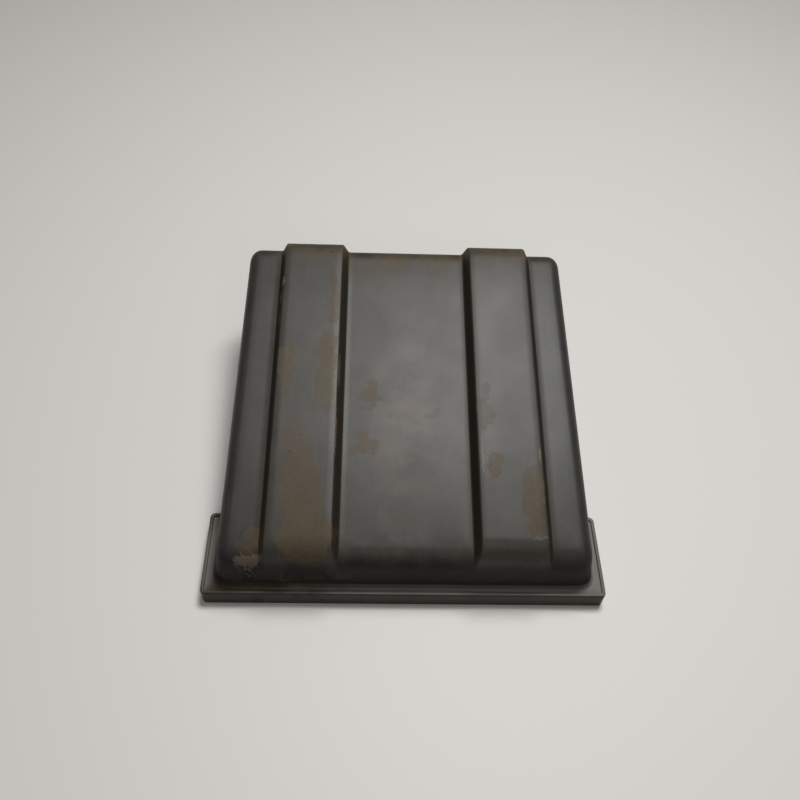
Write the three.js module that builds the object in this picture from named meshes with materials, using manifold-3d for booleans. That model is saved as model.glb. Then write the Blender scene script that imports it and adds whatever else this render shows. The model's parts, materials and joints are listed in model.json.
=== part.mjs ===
// Air filter housing: a wedge-shaped plastic hood on a rectangular mouth flange.
// Air enters the mouth through a slim panel filter, fills the hood and leaves by the spigot in the rear wall.
// Millimetres: X across, Y from the mouth flange to the rear wall, Z up from the plane that it rests on.
import * as THREE from "three";
import { mergeVertices } from "three/addons/utils/BufferGeometryUtils.js";
import Module from "manifold-3d";

const wasm = await Module();
wasm.setup();

// ---------------------------------------------------------------- driving dimensions
const DEG = Math.PI / 180;
const GAP = 0.3; // clearance between pieces that touch
const CUT = 6; // how far a cutting solid runs past the face that it opens
const BITE = 1; // how far joined solids reach into each other

const FLANGE = { width: 300, depth: 68, height: 15.7, corner: 4, lip: 2.6, lipRise: 2 };
// The rim round the flange's underside and the gasket channel inside it.
const SKIRT = { rim: 3.5, channel: 5.5, depth: 5, corner: 3 };
// The mouth inside that channel, past a land that is wider at the flange's two ends.
const MOUTH = { endLand: 4.6, sideLand: 0.6, corner: 4, rebate: 3.4, rebateDepth: 6 };

const WALL = 3;
const HOOD = {
  frontY: 5.6, // front wall, above the flange
  frontZ: 48.8, // where the front wall would meet the face
  slope: 13.3, // rise of the face towards the rear, degrees
  length: 271.7, // along the slope
  topInset: 13.3, // from the flange's end to the hood's side, at the front of the face
  taper: 0.05, // share of the width that is lost by the rear end
  frontLean: 5, // degrees that the front wall leans back
  rearLean: 1, // degrees that the rear wall leans in
  frontRadius: 17,
  rearRadius: 13.5,
  sideRadius: 10,
  footInset: 8.8, // the same where the side meets the flange
  rearInset: 14, // the same at the skirt's rear end
  skirtZ: 24, // lower edge of the hood behind the flange
};
const RIB = { inner: 49, sideInset: 31.4, slant: 4.3, rise: 11.4, taper: 0.0259, rearRadius: 17.5 };

const PAN = { thickness: 3, rimHeight: 9, corner: 14, edge: 1.5 };
const GASKET = { thickness: 2.4, width: 7 };
const BOSS = { radius: 6, height: 14, gusset: 4, gussetRise: 1.5, wallReach: 0.5 };
const SCREW = { shank: 2.5, head: 4.6, headHeight: 3, inset: 10.5, tip: 2 };
const SLOT = { width: 1, depth: 1.4, reach: 2.8 };
const FOOT = { radius: 11, chamfer: 2, draft: 1, neck: 4, barb: 2, barbHeight: 6, x: 96, fromRear: 34 };

const FILTER = { wall: 3, height: 19, low: 1, rim: 2.6, seal: 1.6, innerCorner: 0.8 };
const PAPER = { low: 3.6, topGap: 1, pleats: 22, fold: 1.6 };
const MESH = { bar: 1.4, thickness: 0.8, across: 18, along: 3, seat: 1.5, seatDepth: 1.6 };

const SPIGOT = { radius: 20, wall: 2.6, length: 25, clear: 2, flange: 5, flangeThickness: 3 };
const BEAD = { rise: 1.6, fromEnd: 1, length: 3 };
const SEAL = { width: 4, thickness: 4 };
const CLAMP = { width: 10, thickness: 1, clearance: 1, fromEnd: 6 };
const EAR = { length: 8, thickness: 2, gap: 4, root: 0.5 };
const CLAMP_SCREW = { radius: 2.2, length: 20, head: 1.6, headLength: 3 };
const NIPPLE = { radius: 5.5, bore: 3.5, length: 20, x: 78, clear: 18.5, flange: 4, flangeThickness: 2 };
const BARB = { rise: 0.8, fromEnd: 2, length: 2 };
const DRAIN = { radius: 6, length: 12, bore: 3.5, flange: 4, flangeThickness: 2, x: 52 };

const CLIP = { x: 92, width: 44, wire: 1.4, reach: 30, back: 8, pivotZ: 9.5, droop: 12 };
const BRACKET = { width: 26, thickness: 1.6, height: 12, low: 1.5, eye: 1.6, play: 0.35 };

// ---------------------------------------------------------------- solids
function solid(geometry) {
  const bare = geometry.clone();
  bare.deleteAttribute("normal");
  bare.deleteAttribute("uv");
  const merged = mergeVertices(bare, 1e-4);
  const mesh = new wasm.Mesh({
    numProp: 3,
    vertProperties: new Float32Array(merged.attributes.position.array),
    triVerts: new Uint32Array(merged.index.array),
  });
  return new wasm.Manifold(mesh);
}

function geometryOf(body) {
  const mesh = body.getMesh();
  const geometry = new THREE.BufferGeometry();
  geometry.setAttribute("position", new THREE.BufferAttribute(mesh.vertProperties, 3));
  geometry.setIndex(new THREE.BufferAttribute(mesh.triVerts, 1));
  geometry.computeVertexNormals();
  return geometry;
}

const join = (bodies) => bodies.reduce((sum, body) => sum.add(body));

function box(x0, x1, y0, y1, z0, z1) {
  const block = new THREE.BoxGeometry(x1 - x0, y1 - y0, z1 - z0);
  return solid(block.translate((x0 + x1) / 2, (y0 + y1) / 2, (z0 + z1) / 2));
}

// Upright round bar between two heights.
function postZ(x, y, z0, z1, radius, sides = 20) {
  const bar = new THREE.CylinderGeometry(radius, radius, z1 - z0, sides);
  return solid(bar.rotateX(Math.PI / 2).translate(x, y, (z0 + z1) / 2));
}

// Round bar along Y.
function postY(x, z, y0, y1, radius, sides = 24) {
  const bar = new THREE.CylinderGeometry(radius, radius, y1 - y0, sides);
  return solid(bar.translate(x, (y0 + y1) / 2, z));
}

// Round bar along X.
function postX(y, z, x0, x1, radius, sides = 14) {
  const bar = new THREE.CylinderGeometry(radius, radius, x1 - x0, sides);
  return solid(bar.rotateZ(Math.PI / 2).translate((x0 + x1) / 2, y, z));
}

// Ring round an axis along Y.
function ringY(x, z, y0, y1, outer, inner, sides = 36) {
  return postY(x, z, y0, y1, outer, sides).subtract(postY(x, z, y0 - CUT, y1 + CUT, inner, sides));
}

// Flat outline with rounded corners; corners are [x, y] pairs in anticlockwise order.
function roundedOutline(corners, radius) {
  const shape = new THREE.Shape();
  corners.forEach((corner, i) => {
    const here = new THREE.Vector2(...corner);
    const before = new THREE.Vector2(...corners.at(i - 1));
    const after = new THREE.Vector2(...corners[(i + 1) % corners.length]);
    const start = here.clone().add(before.sub(here).setLength(radius));
    const end = here.clone().add(after.sub(here).setLength(radius));
    if (i === 0) shape.moveTo(start.x, start.y);
    else shape.lineTo(start.x, start.y);
    shape.quadraticCurveTo(here.x, here.y, end.x, end.y);
  });
  shape.closePath();
  return shape;
}

function slab(corners, radius, z0, z1) {
  const options = { depth: z1 - z0, bevelEnabled: false, curveSegments: 5 };
  return solid(new THREE.ExtrudeGeometry(roundedOutline(corners, radius), options).translate(0, 0, z0));
}

const rectangle = (x0, x1, y0, y1) => [[x0, y0], [x1, y0], [x1, y1], [x0, y1]];

// ---------------------------------------------------------------- the hood's side profile
const slope = HOOD.slope * DEG;
const frontLean = HOOD.frontLean * DEG;
const rearLean = HOOD.rearLean * DEG;
const frontTop = new THREE.Vector2(HOOD.frontY + HOOD.frontZ * Math.tan(frontLean), HOOD.frontZ);
const rearTop = new THREE.Vector2(
  frontTop.x + HOOD.length * Math.cos(slope),
  frontTop.y + HOOD.length * Math.sin(slope),
);
const rearY = (z) => rearTop.x + (rearTop.y - z) * Math.tan(rearLean);
const faceZ = (y) => frontTop.y + (y - frontTop.x) * Math.tan(slope);

// Points of a corner that is rounded between two outward normals, each with its normal.
function corner(point, normalA, normalB, radius, steps) {
  const half = (normalB - normalA) / 2;
  const middle = (normalA + normalB) / 2;
  const reach = radius / Math.cos(half);
  const centre = new THREE.Vector2(point.x - reach * Math.cos(middle), point.y - reach * Math.sin(middle));
  return Array.from({ length: steps + 1 }, (_, i) => {
    const angle = normalA + ((normalB - normalA) * i) / steps;
    return { y: centre.x + radius * Math.cos(angle), z: centre.y + radius * Math.sin(angle), angle };
  });
}

// Where the raised face meets a wall whose outward normal has the angle given.
function raised(point, wallNormal, rise) {
  const along = wallNormal < (Math.PI * 3) / 4 ? wallNormal + Math.PI / 2 : wallNormal - Math.PI / 2;
  const reach = rise / Math.cos(along - Math.PI / 2 - slope);
  return new THREE.Vector2(point.x + reach * Math.cos(along), point.y + reach * Math.sin(along));
}

// Closed side outline, from the front wall's lower end over the face to the rear wall's and back underneath.
function sideOutline(frontLow, rearLow, stepY, rise, rearRadius) {
  const frontNormal = Math.PI - frontLean;
  const faceNormal = Math.PI / 2 + slope;
  const frontFootY = HOOD.frontY + frontLow * Math.tan(frontLean);
  return [
    { y: frontFootY, z: frontLow, angle: Math.PI, end: true },
    ...corner(raised(frontTop, frontNormal, rise), frontNormal, faceNormal, HOOD.frontRadius, 7),
    ...corner(raised(rearTop, rearLean, rise), faceNormal, rearLean, rearRadius, 6),
    { y: rearY(rearLow), z: rearLow, angle: 0, end: true },
    { y: stepY, z: rearLow, flat: true },
    { y: stepY, z: frontLow, flat: true },
  ].reverse();
}

const topHalf = FLANGE.width / 2 - HOOD.topInset;
const footHalf = FLANGE.width / 2 - HOOD.footInset;
const rearHalf = FLANGE.width / 2 - HOOD.rearInset;
const ribOuter = topHalf - RIB.sideInset;

// Stations across the hood: where each lies at the front of the face, and how far the profile moves out there.
function stations(inset) {
  const half = topHalf - inset;
  const radius = HOOD.sideRadius - inset / 2;
  const edge = [90, 68, 45, 22, 0].map((a) => ({
    x: half - radius + radius * Math.sin(a * DEG),
    out: -inset - radius * (1 - Math.cos(a * DEG)),
    raised: false,
    side: (a * DEG) / (Math.PI / 2),
  }));
  const rib = [
    { x: ribOuter - inset, raised: false },
    { x: ribOuter - RIB.slant - inset, raised: true },
    { x: RIB.inner + RIB.slant + inset, raised: true },
    { x: RIB.inner + inset, raised: false },
  ].map((station) => ({ ...station, out: -inset, side: 0 }));
  const right = [...edge, ...rib];
  const left = right.map((station) => ({ ...station, x: -station.x }));
  return [...left, ...right.reverse()];
}

// Half width of the body at its lower edge, for a distance from the front.
const lowerHalf = (y) =>
  THREE.MathUtils.mapLinear(y, HOOD.frontY, rearY(HOOD.skirtZ), footHalf, rearHalf);

// The hood as one closed body, smaller by inset all round, with its underside at the heights given.
function hoodBody(inset, frontLow, rearLow) {
  const stepY = FLANGE.depth + inset;
  const outline = sideOutline(frontLow, rearLow, stepY, 0, HOOD.rearRadius);
  const ribOutline = sideOutline(frontLow, rearLow, stepY, RIB.rise, RIB.rearRadius);
  const across = stations(inset);
  const shape = new THREE.Shape(outline.map((point) => new THREE.Vector2(point.y, point.z)));
  const steps = across.length - 1;
  const geometry = new THREE.ExtrudeGeometry(shape, { depth: steps, steps, bevelEnabled: false });
  const position = geometry.attributes.position;
  for (let i = 0; i < position.count; i++) {
    const station = across[Math.round(position.getZ(i))];
    const place = new THREE.Vector2(position.getX(i), position.getY(i));
    const index = outline.findIndex((p) => place.distanceTo(new THREE.Vector2(p.y, p.z)) < 1e-3);
    const point = (station.raised ? ribOutline : outline)[index];
    let y = point.y;
    let z = point.z;
    if (!point.flat) y += station.out * Math.cos(point.angle);
    if (!point.flat && !point.end) z += station.out * Math.sin(point.angle);
    const along = THREE.MathUtils.clamp((point.y - frontTop.x) / (rearTop.x - frontTop.x), 0, 1);
    const share = station.side ? HOOD.taper : RIB.taper;
    const top = station.x * (1 - share * along);
    const low = Math.sign(station.x) * (lowerHalf(point.y) - inset);
    const shoulder = faceZ(point.y) - HOOD.sideRadius;
    const drop = (shoulder - point.z) / (shoulder - HOOD.skirtZ);
    const spread = station.side * THREE.MathUtils.clamp(drop, 0, 1);
    position.setXYZ(i, top + (low - top) * spread, y, z);
  }
  return solid(geometry);
}

// ---------------------------------------------------------------- places that several pieces share
const flangeTop = FLANGE.height - FLANGE.lipRise;
const hollowFloor = MOUTH.rebateDepth + WALL;
const mouthHalf = FLANGE.width / 2 - SKIRT.rim - SKIRT.channel - MOUTH.endLand - MOUTH.rebate;
const mouthY0 = SKIRT.rim + SKIRT.channel + MOUTH.sideLand + MOUTH.rebate;
const mouthY1 = FLANGE.depth - mouthY0;
const panTop = HOOD.skirtZ - GAP - GASKET.thickness - GAP;
const panBottom = panTop - PAN.thickness;
const panFront = FLANGE.depth + GAP * 2;
const panRear = rearY(HOOD.skirtZ) - PAN.edge;
const bossTop = HOOD.skirtZ + BOSS.height;
const spigotZ = HOOD.skirtZ + SPIGOT.clear + SPIGOT.flange + SPIGOT.radius;
const nippleZ = HOOD.skirtZ + NIPPLE.clear + NIPPLE.flange + NIPPLE.radius;
const pivotY = FLANGE.depth + CLIP.back;

// Corners of the pan's outline, drawn in by a distance.
function panOutline(inset) {
  const front = lowerHalf(panFront) - PAN.edge - inset;
  const rear = lowerHalf(panRear) - PAN.edge - inset;
  const frontY = panFront + inset;
  const rearEdge = panRear - inset;
  return [[-rear, rearEdge], [-front, frontY], [front, frontY], [rear, rearEdge]];
}

const screwPlaces = [0, 0.5, 1].flatMap((share) => {
  const y = THREE.MathUtils.lerp(panFront + SCREW.inset, panRear - SCREW.inset, share);
  const x = lowerHalf(y) - PAN.edge - SCREW.inset;
  return [[-x, y], [x, y]];
});
const footY = panRear - FOOT.fromRear;
const footPlaces = [[-FOOT.x, footY], [FOOT.x, footY]];

const screwHoles = (z0, z1) => join(screwPlaces.map(([x, y]) => postZ(x, y, z0, z1, SCREW.shank + GAP)));

// ---------------------------------------------------------------- upper shell
function upperShell() {
  const { width, depth, height, lip } = FLANGE;
  const half = width / 2;
  const plate = slab(rectangle(-half, half, 0, depth), FLANGE.corner, 0, height);
  const recessOutline = rectangle(-half + lip, half - lip, lip, depth - lip);
  const recess = slab(recessOutline, FLANGE.corner - lip / 2, flangeTop, height + CUT);
  const body = hoodBody(0, flangeTop - WALL, HOOD.skirtZ);
  const hollow = hoodBody(WALL, hollowFloor, HOOD.skirtZ - CUT);
  const mouthOutline = rectangle(-mouthHalf, mouthHalf, mouthY0, mouthY1);
  const mouth = slab(mouthOutline, MOUTH.corner, -CUT, hollowFloor + BITE);
  const { rebate, rebateDepth } = MOUTH;
  const seatOutline = rectangle(-mouthHalf - rebate, mouthHalf + rebate, mouthY0 - rebate, mouthY1 + rebate);
  const seat = slab(seatOutline, MOUTH.corner, -CUT, rebateDepth);
  const crossHalf = lowerHalf(depth) - WALL / 2;
  const crossWall = box(-crossHalf, crossHalf, depth - WALL, depth - GAP, flangeTop - BITE, HOOD.skirtZ);
  const wallY0 = rearTop.x - WALL - CUT * 2;
  const wallY1 = rearTop.x + CUT * 2;
  return plate
    .subtract(recess)
    .add(body)
    .subtract(hollow)
    .add(crossWall)
    .add(join(screwPlaces.map(([x, y]) => screwBoss(x, y))))
    .subtract(mouth)
    .subtract(seat)
    .subtract(flangeRing(0, -CUT, SKIRT.depth))
    .subtract(screwHoles(HOOD.skirtZ - CUT, bossTop - SCREW.tip))
    .subtract(postY(0, spigotZ, wallY0, wallY1, SPIGOT.radius + GAP, 36))
    .subtract(postY(NIPPLE.x, nippleZ, wallY0, wallY1, NIPPLE.radius + GAP));
}

// Boss for a floor screw, held to the side wall by a gusset that ends inside the wall's thickness.
function screwBoss(x, y) {
  const wallX = Math.sign(x) * (lowerHalf(y) - WALL + BOSS.wallReach);
  const y0 = y - BOSS.gusset / 2;
  const low = HOOD.skirtZ + BOSS.gussetRise;
  const gusset = box(Math.min(x, wallX), Math.max(x, wallX), y0, y0 + BOSS.gusset, low, bossTop);
  return postZ(x, y, HOOD.skirtZ, bossTop, BOSS.radius).add(gusset);
}

// Ring under the flange, between the outer rim and the mouth's rebate.
function flangeRing(clearance, z0, z1) {
  const outer = SKIRT.rim + clearance;
  const inner = SKIRT.rim + SKIRT.channel - clearance;
  const half = FLANGE.width / 2;
  const outline = rectangle(-half + outer, half - outer, outer, FLANGE.depth - outer);
  const opening = rectangle(-half + inner, half - inner, inner, FLANGE.depth - inner);
  return slab(outline, SKIRT.corner, z0, z1).subtract(slab(opening, SKIRT.corner, z0 - BITE, z1 + BITE));
}

// ---------------------------------------------------------------- floor pan, its gasket and screws
function floorPan() {
  const plate = slab(panOutline(0), PAN.corner, panBottom, panTop);
  const rimTop = panTop + PAN.rimHeight;
  const rimSet = WALL + BOSS.radius * 2 + PAN.edge;
  const rimInside = slab(panOutline(rimSet + WALL), PAN.corner, panTop - CUT, rimTop + CUT);
  const rim = slab(panOutline(rimSet), PAN.corner, panTop - BITE, rimTop).subtract(rimInside);
  const low = panBottom - BITE;
  const high = panTop + BITE;
  const drain = postZ(DRAIN.x, footY, low, high, DRAIN.radius + GAP);
  const footHoles = footPlaces.map(([x, y]) => postZ(x, y, low, high, FOOT.neck + GAP));
  return plate.add(rim).subtract(screwHoles(low, high)).subtract(drain).subtract(join(footHoles));
}

function floorGasket() {
  const low = panTop + GAP;
  const high = low + GASKET.thickness;
  const opening = slab(panOutline(GASKET.width), PAN.corner, low - BITE, high + BITE);
  const ring = slab(panOutline(0), PAN.corner, low, high).subtract(opening);
  const ears = screwPlaces.map(([x, y]) => postZ(x, y, low, high, BOSS.radius));
  return ring.add(join(ears)).subtract(screwHoles(low - BITE, high + BITE));
}

// Screw from below the pan up into its boss, with a cross slot in the head.
function floorScrew(x, y) {
  const headTop = panBottom - GAP;
  const headLow = headTop - SCREW.headHeight;
  const head = postZ(x, y, headLow, headTop, SCREW.head, 16);
  const shank = postZ(x, y, headTop - BITE, bossTop - 2 * SCREW.tip, SCREW.shank, 10);
  const slotTop = headLow + SLOT.depth;
  const wide = SLOT.width / 2;
  const long = SLOT.reach;
  const slots = box(x - long, x + long, y - wide, y + wide, 0, slotTop)
    .add(box(x - wide, x + wide, y - long, y + long, 0, slotTop));
  return head.add(shank).subtract(slots);
}

// Rubber foot with a neck that snaps through the pan.
function rearFoot(x, y) {
  const { radius, chamfer, draft, neck, barb, barbHeight } = FOOT;
  const top = panBottom - GAP;
  const snap = panTop + GAP;
  const points = [
    [0, 0],
    [radius - chamfer, 0],
    [radius, chamfer],
    [radius - draft, top],
    [neck, top],
    [neck, snap],
    [neck + barb, snap],
    [neck - draft, panTop + barbHeight],
    [0, panTop + barbHeight],
  ].map((p) => new THREE.Vector2(...p));
  return solid(new THREE.LatheGeometry(points, 24).rotateX(Math.PI / 2).translate(x, y, 0));
}

// ---------------------------------------------------------------- filter element in the mouth
const filterHalf = mouthHalf - GAP;
const filterY0 = mouthY0 + GAP;
const filterY1 = mouthY1 - GAP;
const frameInside = FILTER.wall + 2 * GAP;

const filterOutline = (inset) =>
  rectangle(-filterHalf + inset, filterHalf - inset, filterY0 + inset, filterY1 - inset);

function filterRing(outerGrow, inset, z0, z1) {
  const opening = slab(filterOutline(inset), FILTER.innerCorner, z0 - BITE, z1 + BITE);
  return slab(filterOutline(-outerGrow), MOUTH.corner, z0, z1).subtract(opening);
}

function filterFrame() {
  const { wall, low, rim, height } = FILTER;
  const foot = filterRing(MOUTH.rebate - GAP, wall, low, low + rim);
  const walls = filterRing(0, wall, low, low + height);
  const meshSeat = slab(filterOutline(MESH.seat), FILTER.innerCorner, -CUT, low + MESH.seatDepth);
  return foot.add(walls).subtract(meshSeat);
}

function filterSeal() {
  const low = FILTER.low + FILTER.rim + GAP;
  return filterRing(MOUTH.rebate - GAP, -GAP, low, low + FILTER.seal);
}

// Pleated paper: a zigzag outline across the panel, as deep as the frame allows.
function filterMedia() {
  const half = filterHalf - frameInside;
  const foldTop = FILTER.low + FILTER.height - PAPER.topGap - PAPER.fold;
  const pitch = (2 * half) / PAPER.pleats;
  const lower = [];
  for (let i = 0; i < PAPER.pleats; i++) {
    lower.push([-half + i * pitch, PAPER.low], [-half + (i + 0.5) * pitch, foldTop]);
  }
  lower.push([half, PAPER.low]);
  const upper = lower.map(([x, z]) => [x, z + PAPER.fold]).reverse();
  const shape = new THREE.Shape([...lower, ...upper].map((p) => new THREE.Vector2(...p)));
  const depth = filterY1 - filterY0 - 2 * frameInside;
  const sheet = new THREE.ExtrudeGeometry(shape, { depth, bevelEnabled: false });
  return solid(sheet.rotateX(Math.PI / 2).translate(0, filterY1 - frameInside, 0));
}

// Wire guard below the paper, a flat grid of bars.
function filterMesh() {
  const [[x0, y0], , [x1, y1]] = filterOutline(MESH.seat + 2 * GAP);
  const low = FILTER.low + GAP;
  const high = low + MESH.thickness;
  const pitchX = (x1 - x0 - MESH.bar) / MESH.across;
  const pitchY = (y1 - y0 - MESH.bar) / MESH.along;
  const windows = [];
  for (let i = 0; i < MESH.across; i++) {
    for (let j = 0; j < MESH.along; j++) {
      const x = x0 + MESH.bar + i * pitchX;
      const y = y0 + MESH.bar + j * pitchY;
      windows.push(box(x, x + pitchX - MESH.bar, y, y + pitchY - MESH.bar, low - BITE, high + BITE));
    }
  }
  return box(x0, x1, y0, y1, low, high).subtract(join(windows));
}

// ---------------------------------------------------------------- outlet in the rear wall
const wallOutY = rearY(spigotZ);
const spigotEnd = wallOutY + SPIGOT.length;

function outletSpigot() {
  const inner = SPIGOT.radius - SPIGOT.wall;
  const collarRadius = SPIGOT.radius + SPIGOT.flange;
  const collarY1 = rearY(spigotZ + collarRadius) - WALL - GAP;
  const collarY0 = collarY1 - SPIGOT.flangeThickness;
  const beadY1 = spigotEnd - BEAD.fromEnd;
  const tube = ringY(0, spigotZ, collarY0, spigotEnd, SPIGOT.radius, inner);
  const collar = ringY(0, spigotZ, collarY0, collarY1, collarRadius, inner);
  const bead = ringY(0, spigotZ, beadY1 - BEAD.length, beadY1, SPIGOT.radius + BEAD.rise, inner);
  return tube.add(collar).add(bead);
}

// Rubber ring outside the rear wall, round the spigot.
function outletSeal() {
  const outer = SPIGOT.radius + SEAL.width;
  const y0 = rearY(spigotZ - outer) + GAP;
  return ringY(0, spigotZ, y0, y0 + SEAL.thickness, outer, SPIGOT.radius + GAP);
}

const clampY1 = spigotEnd - CLAMP.fromEnd;
const clampY0 = clampY1 - CLAMP.width;
const clampInner = SPIGOT.radius + CLAMP.clearance;
const clampOuter = clampInner + CLAMP.thickness;
const clampScrewY = (clampY0 + clampY1) / 2;
const clampScrewZ = spigotZ - clampOuter - EAR.length / 2;

// Band with two ears at the bottom for its screw.
function clampBand() {
  const band = ringY(0, spigotZ, clampY0, clampY1, clampOuter, clampInner);
  const top = spigotZ - clampInner - EAR.root;
  const low = spigotZ - clampOuter - EAR.length;
  const inside = EAR.gap / 2;
  const outside = inside + EAR.thickness;
  const ears = box(-outside, -inside, clampY0, clampY1, low, top)
    .add(box(inside, outside, clampY0, clampY1, low, top));
  const opening = box(-inside, inside, clampY0 - CUT, clampY1 + CUT, low - CUT, top + EAR.gap);
  const hole = postX(clampScrewY, clampScrewZ, -outside - CUT, outside + CUT, CLAMP_SCREW.radius + GAP);
  return band.add(ears).subtract(opening).subtract(hole);
}

function clampScrew() {
  const end = CLAMP_SCREW.length / 2;
  const headRadius = CLAMP_SCREW.radius + CLAMP_SCREW.head;
  const shank = postX(clampScrewY, clampScrewZ, -end, end, CLAMP_SCREW.radius);
  const head = postX(clampScrewY, clampScrewZ, end - BITE, end + CLAMP_SCREW.headLength, headRadius, 6);
  return shank.add(head);
}

// ---------------------------------------------------------------- breather nipple and drain valve
function breatherNipple() {
  const { x, radius, flange, flangeThickness } = NIPPLE;
  const z = nippleZ;
  const end = rearY(z) + NIPPLE.length;
  const collarY1 = rearY(z + radius + flange) - WALL - GAP;
  const collarY0 = collarY1 - flangeThickness;
  const barbY1 = end - BARB.fromEnd;
  return postY(x, z, collarY0, end, radius)
    .add(postY(x, z, collarY0, collarY1, radius + flange))
    .add(postY(x, z, barbY1 - BARB.length, barbY1, radius + BARB.rise))
    .subtract(postY(x, z, collarY0 - CUT, end + CUT, NIPPLE.bore));
}

function drainValve() {
  const { x, radius, bore, length, flange, flangeThickness } = DRAIN;
  const low = panBottom - length;
  const collarZ = panTop + GAP;
  const high = collarZ + flangeThickness;
  return postZ(x, footY, low, high, radius)
    .add(postZ(x, footY, collarZ, high, radius + flange))
    .subtract(postZ(x, footY, low - CUT, high + CUT, bore));
}

// ---------------------------------------------------------------- wire clips behind the flange
// Folded steel bracket on the flange's rear edge, with a rolled eye for the wire.
function clipBracket(x) {
  const { thickness, height, low, eye, play } = BRACKET;
  const x0 = x - BRACKET.width / 2;
  const x1 = x + BRACKET.width / 2;
  const y0 = FLANGE.depth + GAP;
  const webLow = CLIP.pivotZ - thickness / 2;
  const plate = box(x0, x1, y0, y0 + thickness, low, low + height);
  const roll = postX(pivotY, CLIP.pivotZ, x0, x1, CLIP.wire + eye, 18);
  const web = box(x0, x1, y0, pivotY, webLow, webLow + thickness);
  const bore = postX(pivotY, CLIP.pivotZ, x0 - CUT, x1 + CUT, CLIP.wire + play, 18);
  return plate.add(web).add(roll).subtract(bore);
}

// Closed wire loop: its axle turns in the bracket's eye and its far side hooks over the mating base.
function wireClip(x) {
  const { wire, reach, pivotZ } = CLIP;
  const sides = [x - CLIP.width / 2, x + CLIP.width / 2];
  const droop = CLIP.droop * DEG;
  const away = (distance) => [pivotY + distance * Math.cos(droop), pivotZ - distance * Math.sin(droop)];
  const bars = [0, reach].map((distance) => postX(...away(distance), ...sides, wire, 8));
  const arms = sides.map((armX) => {
    const arm = new THREE.CylinderGeometry(wire, wire, reach, 8);
    return solid(arm.rotateX(-droop).translate(armX, ...away(reach / 2)));
  });
  const knuckle = (armX, distance) => solid(new THREE.SphereGeometry(wire, 8, 6).translate(armX, ...away(distance)));
  const knuckles = sides.flatMap((armX) => [knuckle(armX, 0), knuckle(armX, reach)]);
  return join([...bars, ...arms, ...knuckles]);
}

// ---------------------------------------------------------------- materials and assembly
function finish(color, roughness, metalness = 0) {
  return new THREE.MeshStandardMaterial({ color, roughness, metalness });
}
const HOOD_PLASTIC = finish(0x4a4a46, 0.6);
const BLACK_PLASTIC = finish(0x3a3a38, 0.65);
const RUBBER = finish(0x1c1c1c, 0.85);
const FRAME_RUBBER = finish(0x24231f, 0.8);
const FILTER_PAPER = finish(0xb9a77c, 0.9);
const ZINC = finish(0x9a9a94, 0.4, 0.9);
const STEEL = finish(0x8b8b88, 0.35, 1);

// The assembly's origin is at the middle of its footprint, on the plane that it rests on.
const assembly = new THREE.Group();
const housing = new THREE.Group();
housing.position.y = -spigotEnd / 2;
assembly.add(housing);

function place(name, body, material) {
  const mesh = new THREE.Mesh(geometryOf(body), material);
  mesh.name = name;
  housing.add(mesh);
}

place("upper_shell", upperShell(), HOOD_PLASTIC);
place("flange_gasket", flangeRing(GAP, GAP, SKIRT.depth - GAP), RUBBER);
place("floor_pan", floorPan(), BLACK_PLASTIC);
place("floor_gasket", floorGasket(), RUBBER);
screwPlaces.forEach(([x, y], i) => place(`floor_screw_${i + 1}`, floorScrew(x, y), ZINC));
footPlaces.forEach(([x, y]) => place(x < 0 ? "rear_foot_left" : "rear_foot_right", rearFoot(x, y), RUBBER));
place("filter_frame", filterFrame(), FRAME_RUBBER);
place("filter_seal", filterSeal(), RUBBER);
place("filter_media", filterMedia(), FILTER_PAPER);
place("filter_mesh", filterMesh(), ZINC);
place("outlet_spigot", outletSpigot(), BLACK_PLASTIC);
place("outlet_seal", outletSeal(), RUBBER);
place("clamp_band", clampBand(), STEEL);
place("clamp_screw", clampScrew(), ZINC);
place("breather_nipple", breatherNipple(), BLACK_PLASTIC);
place("drain_valve", drainValve(), RUBBER);
for (const [side, x] of [["left", -CLIP.x], ["right", CLIP.x]]) {
  place(`clip_bracket_${side}`, clipBracket(x), ZINC);
  place(`wire_clip_${side}`, wireClip(x), STEEL);
}

export default assembly;
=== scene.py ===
import json
import math

import bmesh
import bpy
from mathutils import Matrix, Vector


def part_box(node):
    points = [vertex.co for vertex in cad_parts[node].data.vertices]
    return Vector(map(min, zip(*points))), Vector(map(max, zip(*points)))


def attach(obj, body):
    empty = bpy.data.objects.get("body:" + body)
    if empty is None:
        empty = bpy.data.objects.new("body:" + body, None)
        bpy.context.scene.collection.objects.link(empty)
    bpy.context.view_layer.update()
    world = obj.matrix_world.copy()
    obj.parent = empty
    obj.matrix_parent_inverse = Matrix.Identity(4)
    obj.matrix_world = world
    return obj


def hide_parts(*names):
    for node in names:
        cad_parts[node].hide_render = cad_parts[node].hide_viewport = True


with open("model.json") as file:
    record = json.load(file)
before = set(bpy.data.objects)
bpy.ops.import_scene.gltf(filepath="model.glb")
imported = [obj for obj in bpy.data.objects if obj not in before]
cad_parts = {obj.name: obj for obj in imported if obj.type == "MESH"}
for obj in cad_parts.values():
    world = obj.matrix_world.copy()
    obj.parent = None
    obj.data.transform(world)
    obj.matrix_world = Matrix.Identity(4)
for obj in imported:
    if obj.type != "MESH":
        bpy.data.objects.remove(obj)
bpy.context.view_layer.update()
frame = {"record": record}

# Air filter housing: a ribbed wedge hood on a mouth flange, with its filter, floor pan, outlet and clips.
# Lengths are millimetres in the hood's own frame: X across, Y back from the flange's front edge, Z up.
MM = 0.001
shell_low, shell_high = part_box("upper_shell")

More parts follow.
